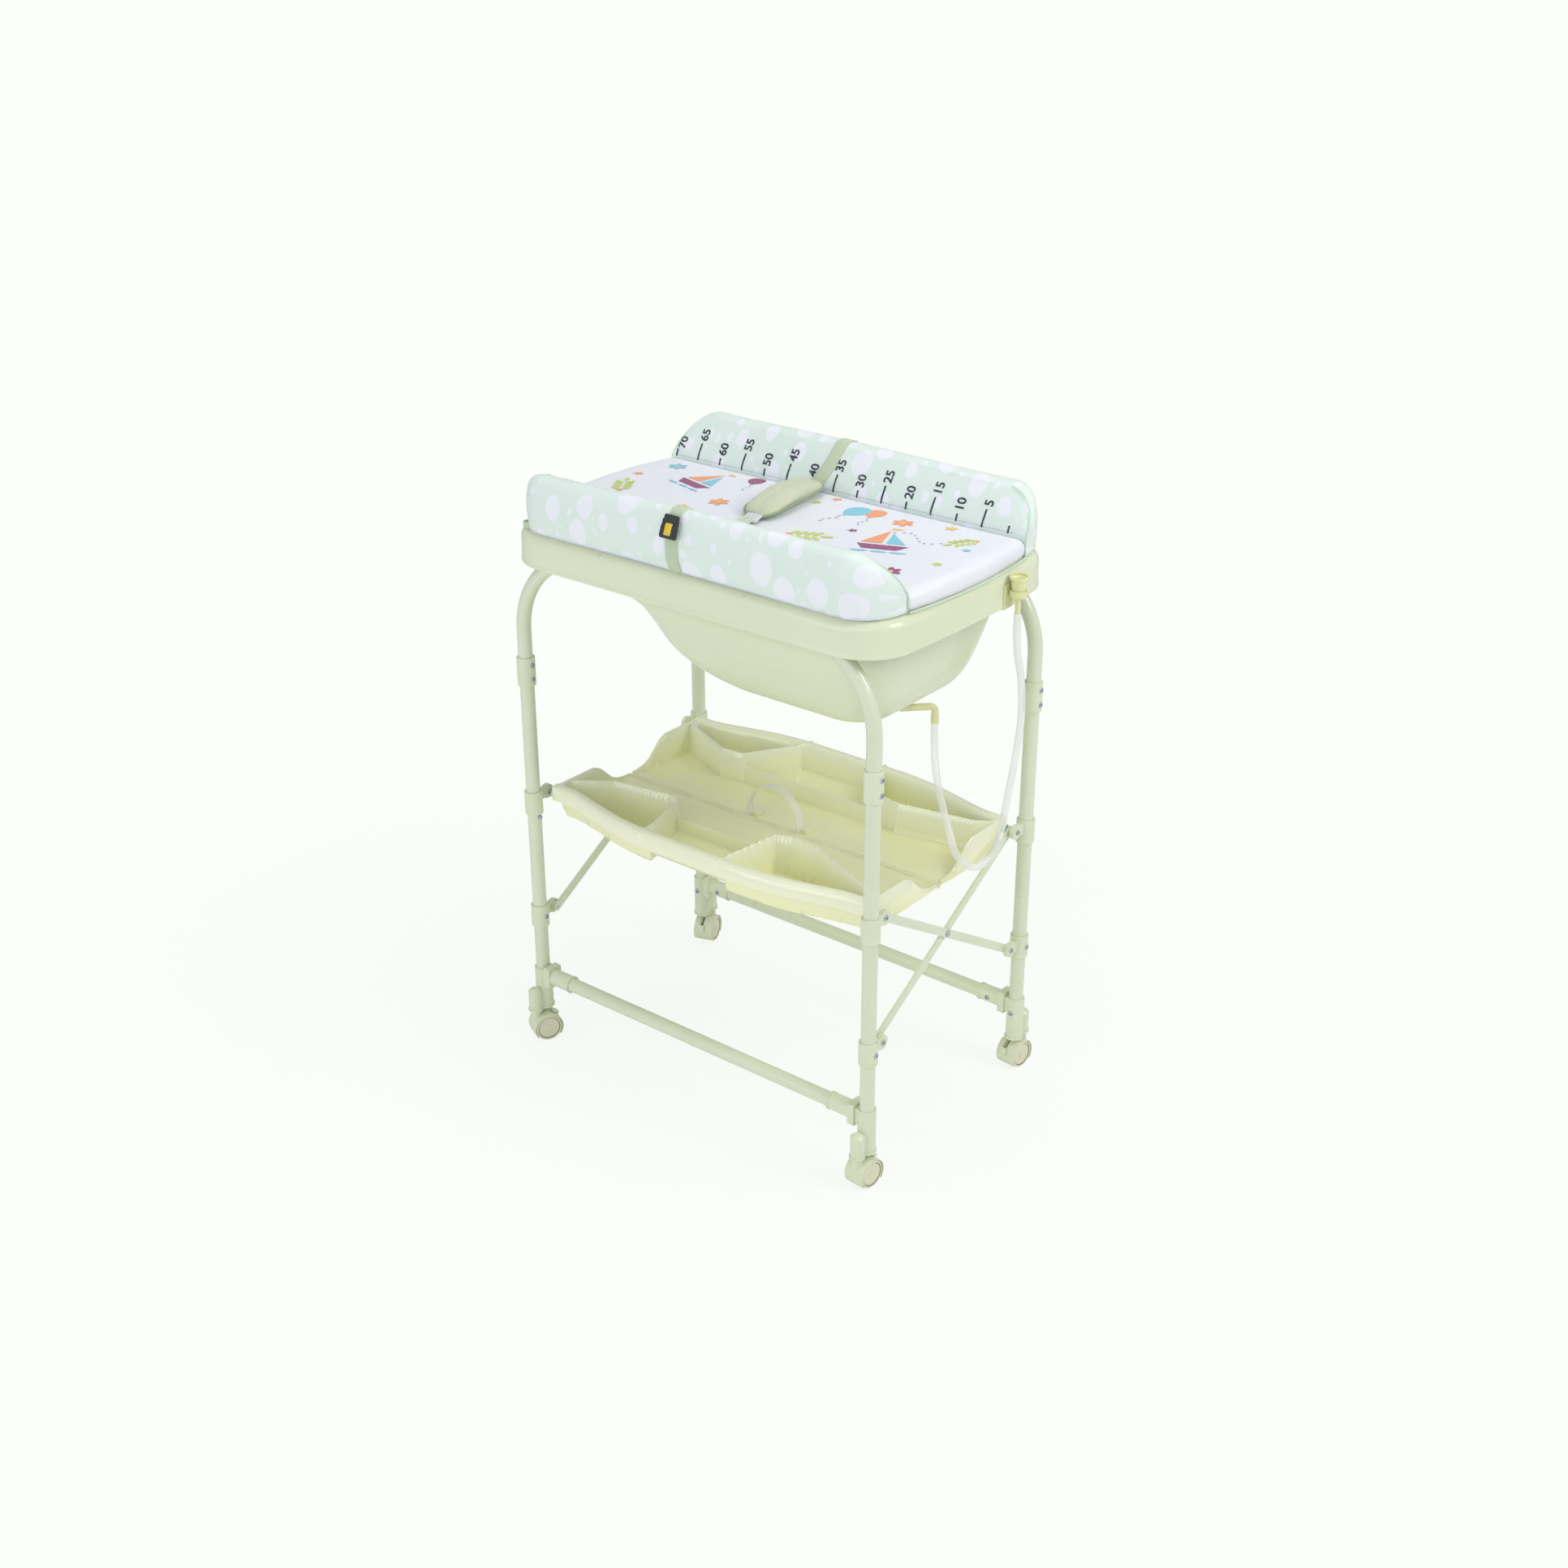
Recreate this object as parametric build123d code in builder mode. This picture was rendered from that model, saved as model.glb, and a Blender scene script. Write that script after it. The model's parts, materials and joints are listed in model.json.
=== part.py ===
from build123d import *
import os
from math import atan2, cos, degrees, hypot, pi, radians, sin, sqrt, tan

# Folding frame: a front and a back frame of round tube
leg_spacing_x = 738.0
leg_spacing_y = 447.0
tube_od = 25.0
tube_wall = 1.2
top_tube_z = 950.0
top_bend_r = 150.0
tube_joint_z = 725.0
slip_fit = 0.1
seat_gap = 0.3
overrun = 6.0

# Sleeves that join the upper and the lower tubes
sleeve_od = 32.0
sleeve_low_z = 700.0
sleeve_length = 52.0
sleeve_screw_inset = 13.0
soft_edge = 1.0

# Foot mouldings with the housing of the caster's stem
foot_low_z = 60.0
foot_top_z = 142.0
foot_od = 31.0
foot_floor = 6.0
housing_od = 24.0
housing_height = 40.0
housing_dome = 5.0
dome_angle = 45.0
stem_offset = 25.0
web_width = 17.0
lip_height = 4.0
lip_reach = 1.6
pad_width = 24.0
pad_height = 30.0
pad_reach = 0.5

# Bottom bars and the end mouldings that hold them
bar_z = 128.0
block_thick = 13.0
block_width = 32.0
block_height = 40.0
end_sleeve_od = 30.0
end_sleeve_length = 45.0
end_ring_width = 3.5
end_ring_reach = 1.0

# Collars with ears for the braces
collar_od = 32.0
low_collar_z = 229.0
low_collar_height = 42.0
low_pivot_z = 254.0
slide_collar_z = 455.0
slide_collar_height = 43.0
slide_pivot_z = 485.0
pivot_inset = 33.5
ear_od = 26.0
ear_thick = 8.0
ear_reach = 5.0
ear_neck = 20.0
spacer_od = 18.0
bush_od = 12.0

# Flat brace bars and the layers between them
brace_width = 15.0
brace_thick = 4.0
layer_gap = 0.3
pivot_d = 6.0
pivot_fit = 0.08
rivet_head_d = 11.0
rivet_head = 1.7

# Screws
screw_head_d = 9.0
screw_head = 2.6
screw_d = 4.0
screw_length = 7.0
screw_seat = 0.9
recess_width = 1.3
recess_length = 5.0
recess_depth = 1.4

# Snap buttons that hold the sliding collars
button_d = 7.0
button_reach = 4.5
button_flange_d = 10.0
button_flange = 2.0
button_drop = 2.5
button_fit = 0.2

# Storage tray of two halves hinged along the middle
tray_end_gap = 7.0
tray_wall = 2.5
rim_top_z = 505.0
rim_height = 27.0
rim_cover = 11.0
tray_tube_od = 16.0
tray_tube_wall = 1.2
tube_bow = 38.0
tube_end_gap = 1.0
seam_pin_z = 452.0
seam_pin_d = 4.0
knuckle_od = 9.0
knuckle_gap = 0.4
knuckle_pairs = 7
seam_clear = 5.6
valley_outer_y = 93.0
valley_bend_y = 36.0
valley_bend_z = 462.0
valley_seam_z = 455.0
end_rib_height = 7.0
end_rib_width = 5.0
bin_floor_z = 441.0
bin_corner_r = 10.0
bin_taper = 6.0
shelf_floor_z = 458.0
notch_width = 19.0

# Pull strap over the seam
strap_span = 112.0
strap_centre_x = -5.0
strap_rise = 68.0
strap_width = 16.0
strap_thick = 2.4
bracket_size = 22.0
bracket_height = 6.0
bracket_y = 18.0

# Casters with twin wheels
wheel_d = 50.0
wheel_width = 13.5
wheel_gap = 10.0
wheel_edge_r = 2.0
wheel_dish = 1.0
axle_d = 6.0
caster_trail = 18.0
hood_clear = 0.8
hood_wall = 2.0
hood_overlap = 0.6
hood_open_z = 9.0
web_thick = 4.0
web_gap = 0.4
neck_od = 19.0
stem_d = 9.0
stem_height = 34.0
brake_ring_d = 14.0
brake_arm_width = 7.0
brake_tab_width = 11.0
brake_tab_thick = 4.0
brake_tab_length = 13.0
brake_gap = 0.5
brake_up_angle = 55.0
brake_down_angle = 20.0
brake_slot_margin = 14.0
caster_yaws = {"front_left": -26.0, "front_right": -6.0, "back_left": 198.0, "back_right": 174.0}
brakes_down = ("back_left", "back_right")

# Bath tub
tub_half_length = 394.0
tub_end_bow = 11.0
tub_half_width = 247.0
tub_corner_r = 78.0
tub_top_z = 986.0
skirt_low_z = 928.0
rim_round = 17.0
tub_wall = 3.0
basin_floor_z = 757.0
basin_top_half_width = 208.0
basin_end_gap = 49.0
basin_top_left = tub_half_length - basin_end_gap
basin_top_right = tub_half_length - basin_end_gap
rib_places = (-170.0, 130.0)
rib_thick = 4.0
tub_foot_d = 24.0
tub_foot_height = 6.0
tub_foot_y = 86.0

# Drain under the low end of the basin
drain_x = 0.69 * basin_top_right
drain_y = 18.0
drain_hole_d = 18.0
tub_foot_x = drain_x - 13.0
tub_foot_left_x = drain_x - 178.0
nut_d = 32.0
nut_height = 8.0
nut_grips = 12
nut_grip_r = 2.0
pipe_od = 12.0
pipe_bore = 8.0
hose_od = 12.0
hose_bore = 9.0
elbow_r = 9.5
elbow_low_z = 708.0
elbow_run_z = 737.0
hose_start_x = drain_x + 44.0
hose_start_y = 64.0
barb_reach = 1.0
barb_length = 5.0
barb_angle = 8.0
barb_count = 3

# Cup at the hose's end and its clip on the rim
cup_x = tub_half_length + 14.6
cup_y = 98.0
cup_top_z = 980.0
cup_mouth_d = 31.0
cup_throat_d = 21.0
cup_lip = 4.0
cup_low_z = 944.0
cup_wall = 1.6
nipple_d = 9.0
nipple_low_z = 918.0
nipple_bore = 5.0
clip_thick = 2.0
clip_length = 40.0
clip_hook = 5.0
clip_top_z = 966.0
clip_ring_low_z = 948.0
clip_ring_height = 9.0
clip_ring_wall = 2.2

# Changing mat: pad between two wedge bolsters
mat_half_length = 372.0
mat_bow = 15.0
crease_y = 160.0
mat_half_width = 246.0
pad_thick = 31.0
pad_crown = 3.0
front_ridge_z = 1074.0
back_ridge_z = 1092.0
bolster_bulge = 3.0
ridge_y = 222.0
ridge_width = 34.0
bolster_end_in = 52.0
bolster_end_drop = 26.0
bolster_lean_share = 0.8

# Safety harness on the mat
webbing_width = 25.0
webbing_thick = 1.6
harness_x = -6.0
back_strap_x = -28.0
belly_pad_width = 72.0
belly_pad_length = 190.0
belly_pad_thick = 24.0
belly_pad_x = -30.0
belly_pad_y = 52.0
buckle_width = 32.0
buckle_length = 40.0
buckle_thick = 8.0
buckle_tilt = 48.0
buckle_y = 242.7
buckle_z = 1064.6

# Values worked out from the sizes above
leg_x = leg_spacing_x / 2
leg_y = leg_spacing_y / 2
tube_r = tube_od / 2
bore_r = tube_r + slip_fit
pivot_y = leg_y - pivot_inset
pivot_r = pivot_d / 2
pivot_hole_r = pivot_r + pivot_fit
screw_hole_r = screw_d / 2 + slip_fit
foot_r = foot_od / 2
foot_pad_x = leg_x - foot_r - pad_reach
block_inner_x = foot_pad_x - block_thick
ear_outer_x = leg_x + ear_reach
ear_inner_x = ear_outer_x - ear_thick
brace_b_x = ear_inner_x - layer_gap - brace_thick / 2
brace_a_x = brace_b_x - brace_thick - layer_gap
brace_rise = slide_pivot_z - low_pivot_z
brace_length = hypot(2 * pivot_y, brace_rise)
brace_mid_z = (low_pivot_z + slide_pivot_z) / 2
brace_b_inner_x = brace_b_x - brace_thick / 2
brace_a_inner_x = brace_a_x - brace_thick / 2
tray_tube_end_x = leg_x - collar_od / 2 - tube_end_gap
tray_tube_r = tray_tube_od / 2
tray_half_length = tray_tube_end_x - tray_end_gap
bow_end_x = 0.87 * tray_half_length
bow_mid_x = bow_end_x / 2
bow_end_r = 0.6 * bow_end_x
bow_mid_r = 1.66 * bow_end_x
wheel_r = wheel_d / 2
hood_bore_r = wheel_r + hood_clear
hood_r = hood_bore_r + hood_wall
hood_half = wheel_gap / 2 + wheel_width + hood_overlap
neck_top_z = foot_low_z - seat_gap
stem_r = stem_d / 2
button_z = slide_collar_z - button_drop - button_d / 2
mat_low_z = tub_top_z + seat_gap
pad_top_z = mat_low_z + pad_thick
sides = {"front": -1, "back": 1}
ends = {"left": -1, "right": 1}


def finish(piece, label):
    """Name a finished piece and write it."""
    piece.part.label = label
    export_step(piece.part, "parts/" + label + ".step")


os.makedirs("parts", exist_ok=True)


# Screws, made once with the head's seat at z 0 and the shank along -Z
def make_screw(shank_d, shank_length):
    with BuildPart() as screw:
        with BuildSketch():
            Circle(screw_head_d / 2)
        extrude(amount=screw_head)
        fillet(screw.faces().sort_by(Axis.Z)[-1].edges(), screw_head / 2)
        with BuildSketch():
            Circle(shank_d / 2)
        extrude(amount=-shank_length)
        with BuildSketch(Plane.XY.offset(screw_head)):
            Rectangle(recess_length, recess_width)
            Rectangle(recess_width, recess_length)
        extrude(amount=-recess_depth, mode=Mode.SUBTRACT)
    return screw


def facing(x, y, z, direction):
    """Place whose +Z points along the direction."""
    return Plane(origin=(x, y, z), z_dir=direction).location


# Frame tubes
def make_upper_tube(side):
    with BuildPart() as tube:
        with BuildLine(Plane.XZ.offset(-side * leg_y)) as route:
            FilletPolyline(
                (-leg_x, tube_joint_z),
                (-leg_x, top_tube_z),
                (leg_x, top_tube_z),
                (leg_x, tube_joint_z),
                radius=top_bend_r,
            )
        with BuildSketch(Plane(origin=(-leg_x, side * leg_y, tube_joint_z))):
            Circle(tube_r)
            Circle(tube_r - tube_wall, mode=Mode.SUBTRACT)
        sweep()
        for end in ends.values():
            with BuildSketch(Plane.YZ.offset(end * leg_x)):
                with Locations((side * leg_y, sleeve_low_z + sleeve_length - sleeve_screw_inset)):
                    Circle(screw_hole_r)
            extrude(amount=tube_od, mode=Mode.SUBTRACT)
    return tube


def make_leg(side, end):
    with BuildPart() as leg:
        with BuildSketch(Plane.XY.offset(foot_low_z + foot_floor)):
            with Locations((end * leg_x, side * leg_y)):
                Circle(tube_r)
                Circle(tube_r - tube_wall, mode=Mode.SUBTRACT)
        extrude(amount=tube_joint_z - foot_low_z - foot_floor)
        with BuildSketch(Plane.YZ.offset(end * leg_x)):
            with Locations(
                (side * leg_y, sleeve_low_z + sleeve_screw_inset),
                (side * leg_y, low_collar_z + low_collar_height / 2),
            ):
                Circle(screw_hole_r)
        extrude(amount=tube_od, mode=Mode.SUBTRACT)
        with BuildSketch(Plane.XZ.offset(-side * leg_y)):
            with Locations((end * leg_x, foot_low_z + housing_height + screw_length * 2)):
                Circle(screw_hole_r)
        extrude(amount=side * tube_od, mode=Mode.SUBTRACT)
        if side == sides["front"]:
            with BuildSketch(Plane.YZ.offset(end * leg_x)):
                with Locations((side * leg_y, button_z)):
                    Circle(button_d / 2 + button_fit)
            extrude(amount=-end * tube_od, mode=Mode.SUBTRACT)
    return leg


def make_sleeve_pair(side):
    with BuildPart() as pair:
        with BuildSketch(Plane.XY.offset(sleeve_low_z)):
            with Locations((-leg_x, side * leg_y), (leg_x, side * leg_y)):
                Circle(sleeve_od / 2)
        extrude(amount=sleeve_length)
        fillet(pair.edges().filter_by(GeomType.CIRCLE), soft_edge)
        with BuildSketch(Plane.XY.offset(sleeve_low_z)):
            with Locations((-leg_x, side * leg_y), (leg_x, side * leg_y)):
                Circle(bore_r)
        extrude(amount=sleeve_length, mode=Mode.SUBTRACT)
        for end in ends.values():
            seat_x = end * leg_x + sleeve_od / 2 - screw_seat
            for z in (sleeve_screw_inset, sleeve_length - sleeve_screw_inset):
                with BuildSketch(Plane.YZ.offset(end * leg_x)):
                    with Locations((side * leg_y, sleeve_low_z + z)):
                        Circle(screw_hole_r)
                extrude(amount=sleeve_od, mode=Mode.SUBTRACT)
                with BuildSketch(Plane.YZ.offset(seat_x)):
                    with Locations((side * leg_y, sleeve_low_z + z)):
                        Circle(screw_head_d / 2 + slip_fit)
                extrude(amount=overrun, mode=Mode.SUBTRACT)
    return pair


# Foot mouldings
foot_screw_z = foot_low_z + housing_height + 2 * screw_length


def make_foot_pair(side):
    stem_y = side * (leg_y + stem_offset)
    with BuildPart() as pair:
        with BuildSketch(Plane.XY.offset(foot_low_z)):
            with Locations((leg_x, side * leg_y)):
                Circle(foot_r)
            with Locations((leg_x, stem_y)):
                Circle(housing_od / 2)
            with Locations((leg_x, side * (leg_y + stem_offset / 2))):
                Rectangle(web_width, stem_offset)
        extrude(amount=housing_height)
        with BuildSketch(Plane.XY.offset(foot_low_z)):
            with Locations((leg_x, side * leg_y)):
                Circle(foot_r + lip_reach)
            with Locations((leg_x, stem_y)):
                Circle(housing_od / 2 + lip_reach)
            with Locations((leg_x, side * (leg_y + stem_offset / 2))):
                Rectangle(web_width + 2 * lip_reach, stem_offset)
        extrude(amount=lip_height)
        with BuildSketch(Plane.XY.offset(foot_low_z + housing_height)):
            with Locations((leg_x, stem_y)):
                Circle(housing_od / 2)
        extrude(amount=housing_dome, taper=dome_angle)
        with BuildSketch(Plane.XY.offset(foot_low_z)):
            with Locations((leg_x, side * leg_y)):
                Circle(foot_r)
        extrude(amount=foot_top_z - foot_low_z)
        with BuildSketch(Plane.YZ.offset(foot_pad_x)):
            with Locations((side * leg_y, foot_top_z - pad_height / 2)):
                Rectangle(pad_width, pad_height)
        extrude(amount=foot_r)
        with BuildSketch(Plane.XY.offset(foot_low_z + foot_floor)):
            with Locations((leg_x, side * leg_y)):
                Circle(bore_r)
        extrude(amount=foot_top_z, mode=Mode.SUBTRACT)
        with BuildSketch(Plane.XY.offset(foot_low_z)):
            with Locations((leg_x, stem_y)):
                Circle(stem_r + pivot_fit)
        extrude(amount=stem_height + seat_gap, mode=Mode.SUBTRACT)
        seat_y = side * (leg_y - foot_r + screw_seat)
        with BuildSketch(Plane.XZ.offset(-side * leg_y)):
            with Locations((leg_x, foot_screw_z)):
                Circle(screw_hole_r)
        extrude(amount=side * foot_od, mode=Mode.SUBTRACT)
        with BuildSketch(Plane.XZ.offset(-seat_y)):
            with Locations((leg_x, foot_screw_z)):
                Circle(screw_head_d / 2 + slip_fit)
        extrude(amount=side * overrun, mode=Mode.SUBTRACT)
        mirror(about=Plane.YZ)
    return pair


# Bottom bars
bar_screw_x = block_inner_x - end_sleeve_length / 2


def make_bottom_bar(side):
    with BuildPart() as bar:
        with BuildSketch(Plane.YZ.offset(-block_inner_x)):
            with Locations((side * leg_y, bar_z)):
                Circle(tube_r)
                Circle(tube_r - tube_wall, mode=Mode.SUBTRACT)
        extrude(amount=2 * block_inner_x)
        with BuildSketch(Plane.XZ.offset(-side * leg_y)):
            with Locations((-bar_screw_x, bar_z), (bar_screw_x, bar_z)):
                Circle(screw_hole_r)
        extrude(amount=side * tube_od, mode=Mode.SUBTRACT)
    return bar


def make_bar_end_pair(side):
    with BuildPart() as pair:
        with BuildSketch(Plane.YZ.offset(block_inner_x)):
            with Locations((side * leg_y, bar_z)):
                RectangleRounded(block_width, block_height, block_thick / 4)
        extrude(amount=block_thick)
        with BuildSketch(Plane.YZ.offset(block_inner_x)):
            with Locations((side * leg_y, bar_z)):
                Circle(end_sleeve_od / 2)
        extrude(amount=-end_sleeve_length)
        with BuildSketch(Plane.YZ.offset(block_inner_x - end_sleeve_length)):
            with Locations((side * leg_y, bar_z)):
                Circle(end_sleeve_od / 2 + end_ring_reach)
        extrude(amount=end_ring_width)
        with BuildSketch(Plane.YZ.offset(block_inner_x)):
            with Locations((side * leg_y, bar_z)):
                Circle(bore_r)
        extrude(amount=-end_sleeve_length, mode=Mode.SUBTRACT)
        seat_y = side * (leg_y - end_sleeve_od / 2 + screw_seat)
        with BuildSketch(Plane.XZ.offset(-side * leg_y)):
            with Locations((bar_screw_x, bar_z)):
                Circle(screw_hole_r)
        extrude(amount=side * end_sleeve_od, mode=Mode.SUBTRACT)
        with BuildSketch(Plane.XZ.offset(-seat_y)):
            with Locations((bar_screw_x, bar_z)):
                Circle(screw_head_d / 2 + slip_fit)
        extrude(amount=side * overrun, mode=Mode.SUBTRACT)
        mirror(about=Plane.YZ)
    return pair


# Collars on the legs, with an ear on the inner side and a spacer where the brace lies deeper
def make_collar_pair(side, low_z, height, pivot_z, brace_outer_x, fixed):
    eye_y = side * pivot_y
    with BuildPart() as pair:
        with BuildSketch(Plane.XY.offset(low_z)):
            with Locations((leg_x, side * leg_y)):
                Circle(collar_od / 2)
        extrude(amount=height)
        fillet(pair.edges().filter_by(GeomType.CIRCLE), soft_edge)
        with BuildSketch(Plane.YZ.offset(ear_inner_x)):
            with Locations((eye_y, pivot_z)):
                Circle(ear_od / 2)
            with Locations((side * (pivot_y + leg_y) / 2, pivot_z)):
                Rectangle(pivot_inset, ear_neck)
        extrude(amount=ear_thick)
        with BuildSketch(Plane.YZ.offset(brace_outer_x + layer_gap)):
            with Locations((eye_y, pivot_z)):
                Circle(spacer_od / 2)
        extrude(amount=ear_outer_x - brace_outer_x - layer_gap)
        with BuildSketch(Plane.XY.offset(low_z)):
            with Locations((leg_x, side * leg_y)):
                Circle(bore_r)
        extrude(amount=height, mode=Mode.SUBTRACT)
        with BuildSketch(Plane.YZ.offset(brace_a_inner_x)):
            with Locations((eye_y, pivot_z)):
                Circle(pivot_hole_r)
        extrude(amount=collar_od, mode=Mode.SUBTRACT)
        mirror(about=Plane.YZ)
        if fixed:
            for end in ends.values():
                with BuildSketch(Plane.YZ.offset(end * leg_x)):
                    with Locations((side * leg_y, low_z + height / 2)):
                        Circle(screw_hole_r)
                extrude(amount=collar_od, mode=Mode.SUBTRACT)
                with BuildSketch(Plane.YZ.offset(end * leg_x + collar_od / 2 - screw_seat)):
                    with Locations((side * leg_y, low_z + height / 2)):
                        Circle(screw_head_d / 2 + slip_fit)
                extrude(amount=overrun, mode=Mode.SUBTRACT)
    return pair


# Flat brace bars: bar a runs from the front's low pivot, bar b from the back's low pivot
def make_brace(end, centre_x, slope):
    bar_plane = Plane(
        origin=(end * centre_x, 0, brace_mid_z),
        x_dir=(0, slope * 2 * pivot_y, brace_rise),
        z_dir=(1, 0, 0),
    )
    with BuildPart() as bar:
        with BuildSketch(bar_plane):
            SlotCenterToCenter(brace_length, brace_width)
            with Locations((-brace_length / 2, 0), (0, 0), (brace_length / 2, 0)):
                Circle(pivot_hole_r, mode=Mode.SUBTRACT)
        extrude(amount=brace_thick / 2, both=True)
    return bar


def make_cross_rivets():
    outer_x = brace_b_x + brace_thick / 2
    with BuildPart() as rivets:
        with BuildSketch(Plane.YZ.offset(brace_a_inner_x - rivet_head)):
            with Locations((0, brace_mid_z)):
                Circle(rivet_head_d / 2)
        extrude(amount=rivet_head)
        with BuildSketch(Plane.YZ.offset(outer_x)):
            with Locations((0, brace_mid_z)):
                Circle(rivet_head_d / 2)
        extrude(amount=rivet_head)
        with BuildSketch(Plane.YZ.offset(brace_a_inner_x)):
            with Locations((0, brace_mid_z)):
                Circle(pivot_r)
        extrude(amount=outer_x - brace_a_inner_x)
        mirror(about=Plane.YZ)
    return rivets


# Screws of one frame, and of one pair of sliding collars
def make_frame_screws(side):
    screw = make_screw(screw_d, screw_length)
    pin_depth = ear_outer_x - (brace_a_inner_x if side < 0 else brace_b_inner_x)
    pivot_screw = make_screw(pivot_d, pin_depth)
    with BuildPart() as group:
        for end in ends.values():
            add(pivot_screw.part.moved(facing(end * ear_outer_x, side * pivot_y, low_pivot_z, (end, 0, 0))))
            seat_x = end * leg_x + sleeve_od / 2 - screw_seat
            add(screw.part.moved(
                facing(seat_x, side * leg_y, low_collar_z + low_collar_height / 2, (1, 0, 0))))
            for z in (sleeve_screw_inset, sleeve_length - sleeve_screw_inset):
                add(screw.part.moved(facing(seat_x, side * leg_y, sleeve_low_z + z, (1, 0, 0))))
            foot_seat_y = side * (leg_y - foot_r + screw_seat)
            add(screw.part.moved(facing(end * leg_x, foot_seat_y, foot_screw_z, (0, -side, 0))))
            bar_seat_y = side * (leg_y - end_sleeve_od / 2 + screw_seat)
            add(screw.part.moved(facing(end * bar_screw_x, bar_seat_y, bar_z, (0, -side, 0))))
    return group


def make_slider_screws(side):
    bush_x = tray_tube_end_x + seat_gap
    deep_x = bush_x if side < 0 else tray_tube_end_x - tray_tube_r
    brace_x = brace_b_inner_x if side < 0 else brace_a_inner_x
    pivot_screw = make_screw(pivot_d, ear_outer_x - deep_x)
    with BuildPart() as group:
        for end in ends.values():
            place = facing(end * ear_outer_x, side * pivot_y, slide_pivot_z, (end, 0, 0))
            add(pivot_screw.part.moved(place))
            with BuildSketch(Plane.YZ.offset(end * bush_x)):
                with Locations((side * pivot_y, slide_pivot_z)):
                    Circle(bush_od / 2)
            extrude(amount=end * (brace_x - layer_gap - bush_x))
    return group


# Snap button in a front leg
def make_snap_button(end):
    flange_x = sqrt((tube_r - tube_wall) ** 2 - (button_flange_d / 2) ** 2) - slip_fit
    with BuildPart() as button:
        with BuildSketch(Plane.YZ.offset(end * (leg_x - flange_x))):
            with Locations((-leg_y, button_z)):
                Circle(button_flange_d / 2)
        extrude(amount=end * button_flange)
        with BuildSketch(Plane.YZ.offset(end * (leg_x - flange_x))):
            with Locations((-leg_y, button_z)):
                Circle(button_d / 2)
        extrude(amount=-end * (tube_r + button_reach - flange_x))
        tip = button.faces().sort_by(Axis.X)[0 if end > 0 else -1]
        fillet(tip.edges(), soft_edge)
    return button


# Tray halves, built for the front and turned over for the back
def bow_points(end_x, side_reach):
    """Points of the tube's bow, moved outward by side_reach."""
    end_y = -pivot_y - side_reach
    mid_y = end_y - tube_bow
    return [(end_x, end_y), (bow_end_x, end_y), (bow_mid_x, mid_y),
            (-bow_mid_x, mid_y), (-bow_end_x, end_y), (-end_x, end_y)]


bow_radii = [bow_end_r, bow_mid_r, bow_mid_r, bow_end_r]


def make_tray_tube(side):
    with BuildPart() as tube:
        with BuildLine(Plane.XY.offset(slide_pivot_z)) as route:
            points = [(x, -side * y) for x, y in bow_points(tray_tube_end_x, 0)]
            FilletPolyline(*points, radius=bow_radii)
        with BuildSketch(Plane(origin=route.line @ 0, z_dir=route.line % 0)):
            Circle(tray_tube_r)
            Circle(tray_tube_r - tray_tube_wall, mode=Mode.SUBTRACT)
        sweep()
        for end in ends.values():
            with BuildSketch(Plane.YZ.offset(end * tray_tube_end_x)):
                with Locations((side * pivot_y, slide_pivot_z)):
                    Circle(tray_tube_r)
            extrude(amount=-end * tray_tube_od)
            with BuildSketch(Plane.YZ.offset(end * tray_tube_end_x)):
                with Locations((side * pivot_y, slide_pivot_z)):
                    Circle(pivot_hole_r)
            extrude(amount=-end * tray_tube_od, mode=Mode.SUBTRACT)
    return tube


# Bins as outlines at the rim: x and y as shares of the tray's half length and the pivots' y
front_bins_shares = [
    [(-0.97, -0.86), (-0.79, -0.62), (-0.46, -0.52), (-0.40, -0.56), (-0.32, -1.06), (-0.60, -1.00)],
    [(0.20, -1.10), (0.24, -0.55), (0.32, -0.50), (0.50, -0.52), (0.87, -0.82), (0.60, -1.00)],
]
front_shelf_shares = [(-0.28, -1.10), (-0.28, -0.76), (0.16, -0.76), (0.16, -1.10)]
back_bins_shares = [
    [(-0.95, -0.86), (-0.62, -0.60), (-0.50, -0.62), (-0.34, -1.08), (-0.60, -1.00)],
    [(0.20, -1.10), (0.34, -0.72), (0.50, -0.66), (0.90, -0.82), (0.60, -1.00)],
]
back_shelf_shares = [(-0.29, -1.10), (-0.30, -0.60), (0.26, -0.72), (0.15, -1.10)]


def share_points(shares):
    return [(x * tray_half_length, y * pivot_y) for x, y in shares]


def make_bin(shares, floor_z, wall, drop):
    """Tapered pocket from the rim down, grown outward by wall and deepened by drop."""
    with BuildPart() as pocket:
        with BuildSketch(Plane.XY.offset(rim_top_z)) as mouth:
            Polygon(*share_points(shares), align=None)
            fillet(mouth.vertices(), bin_corner_r)
            offset(amount=wall)
        extrude(amount=-(rim_top_z - floor_z + drop), taper=bin_taper)
    return pocket


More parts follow.
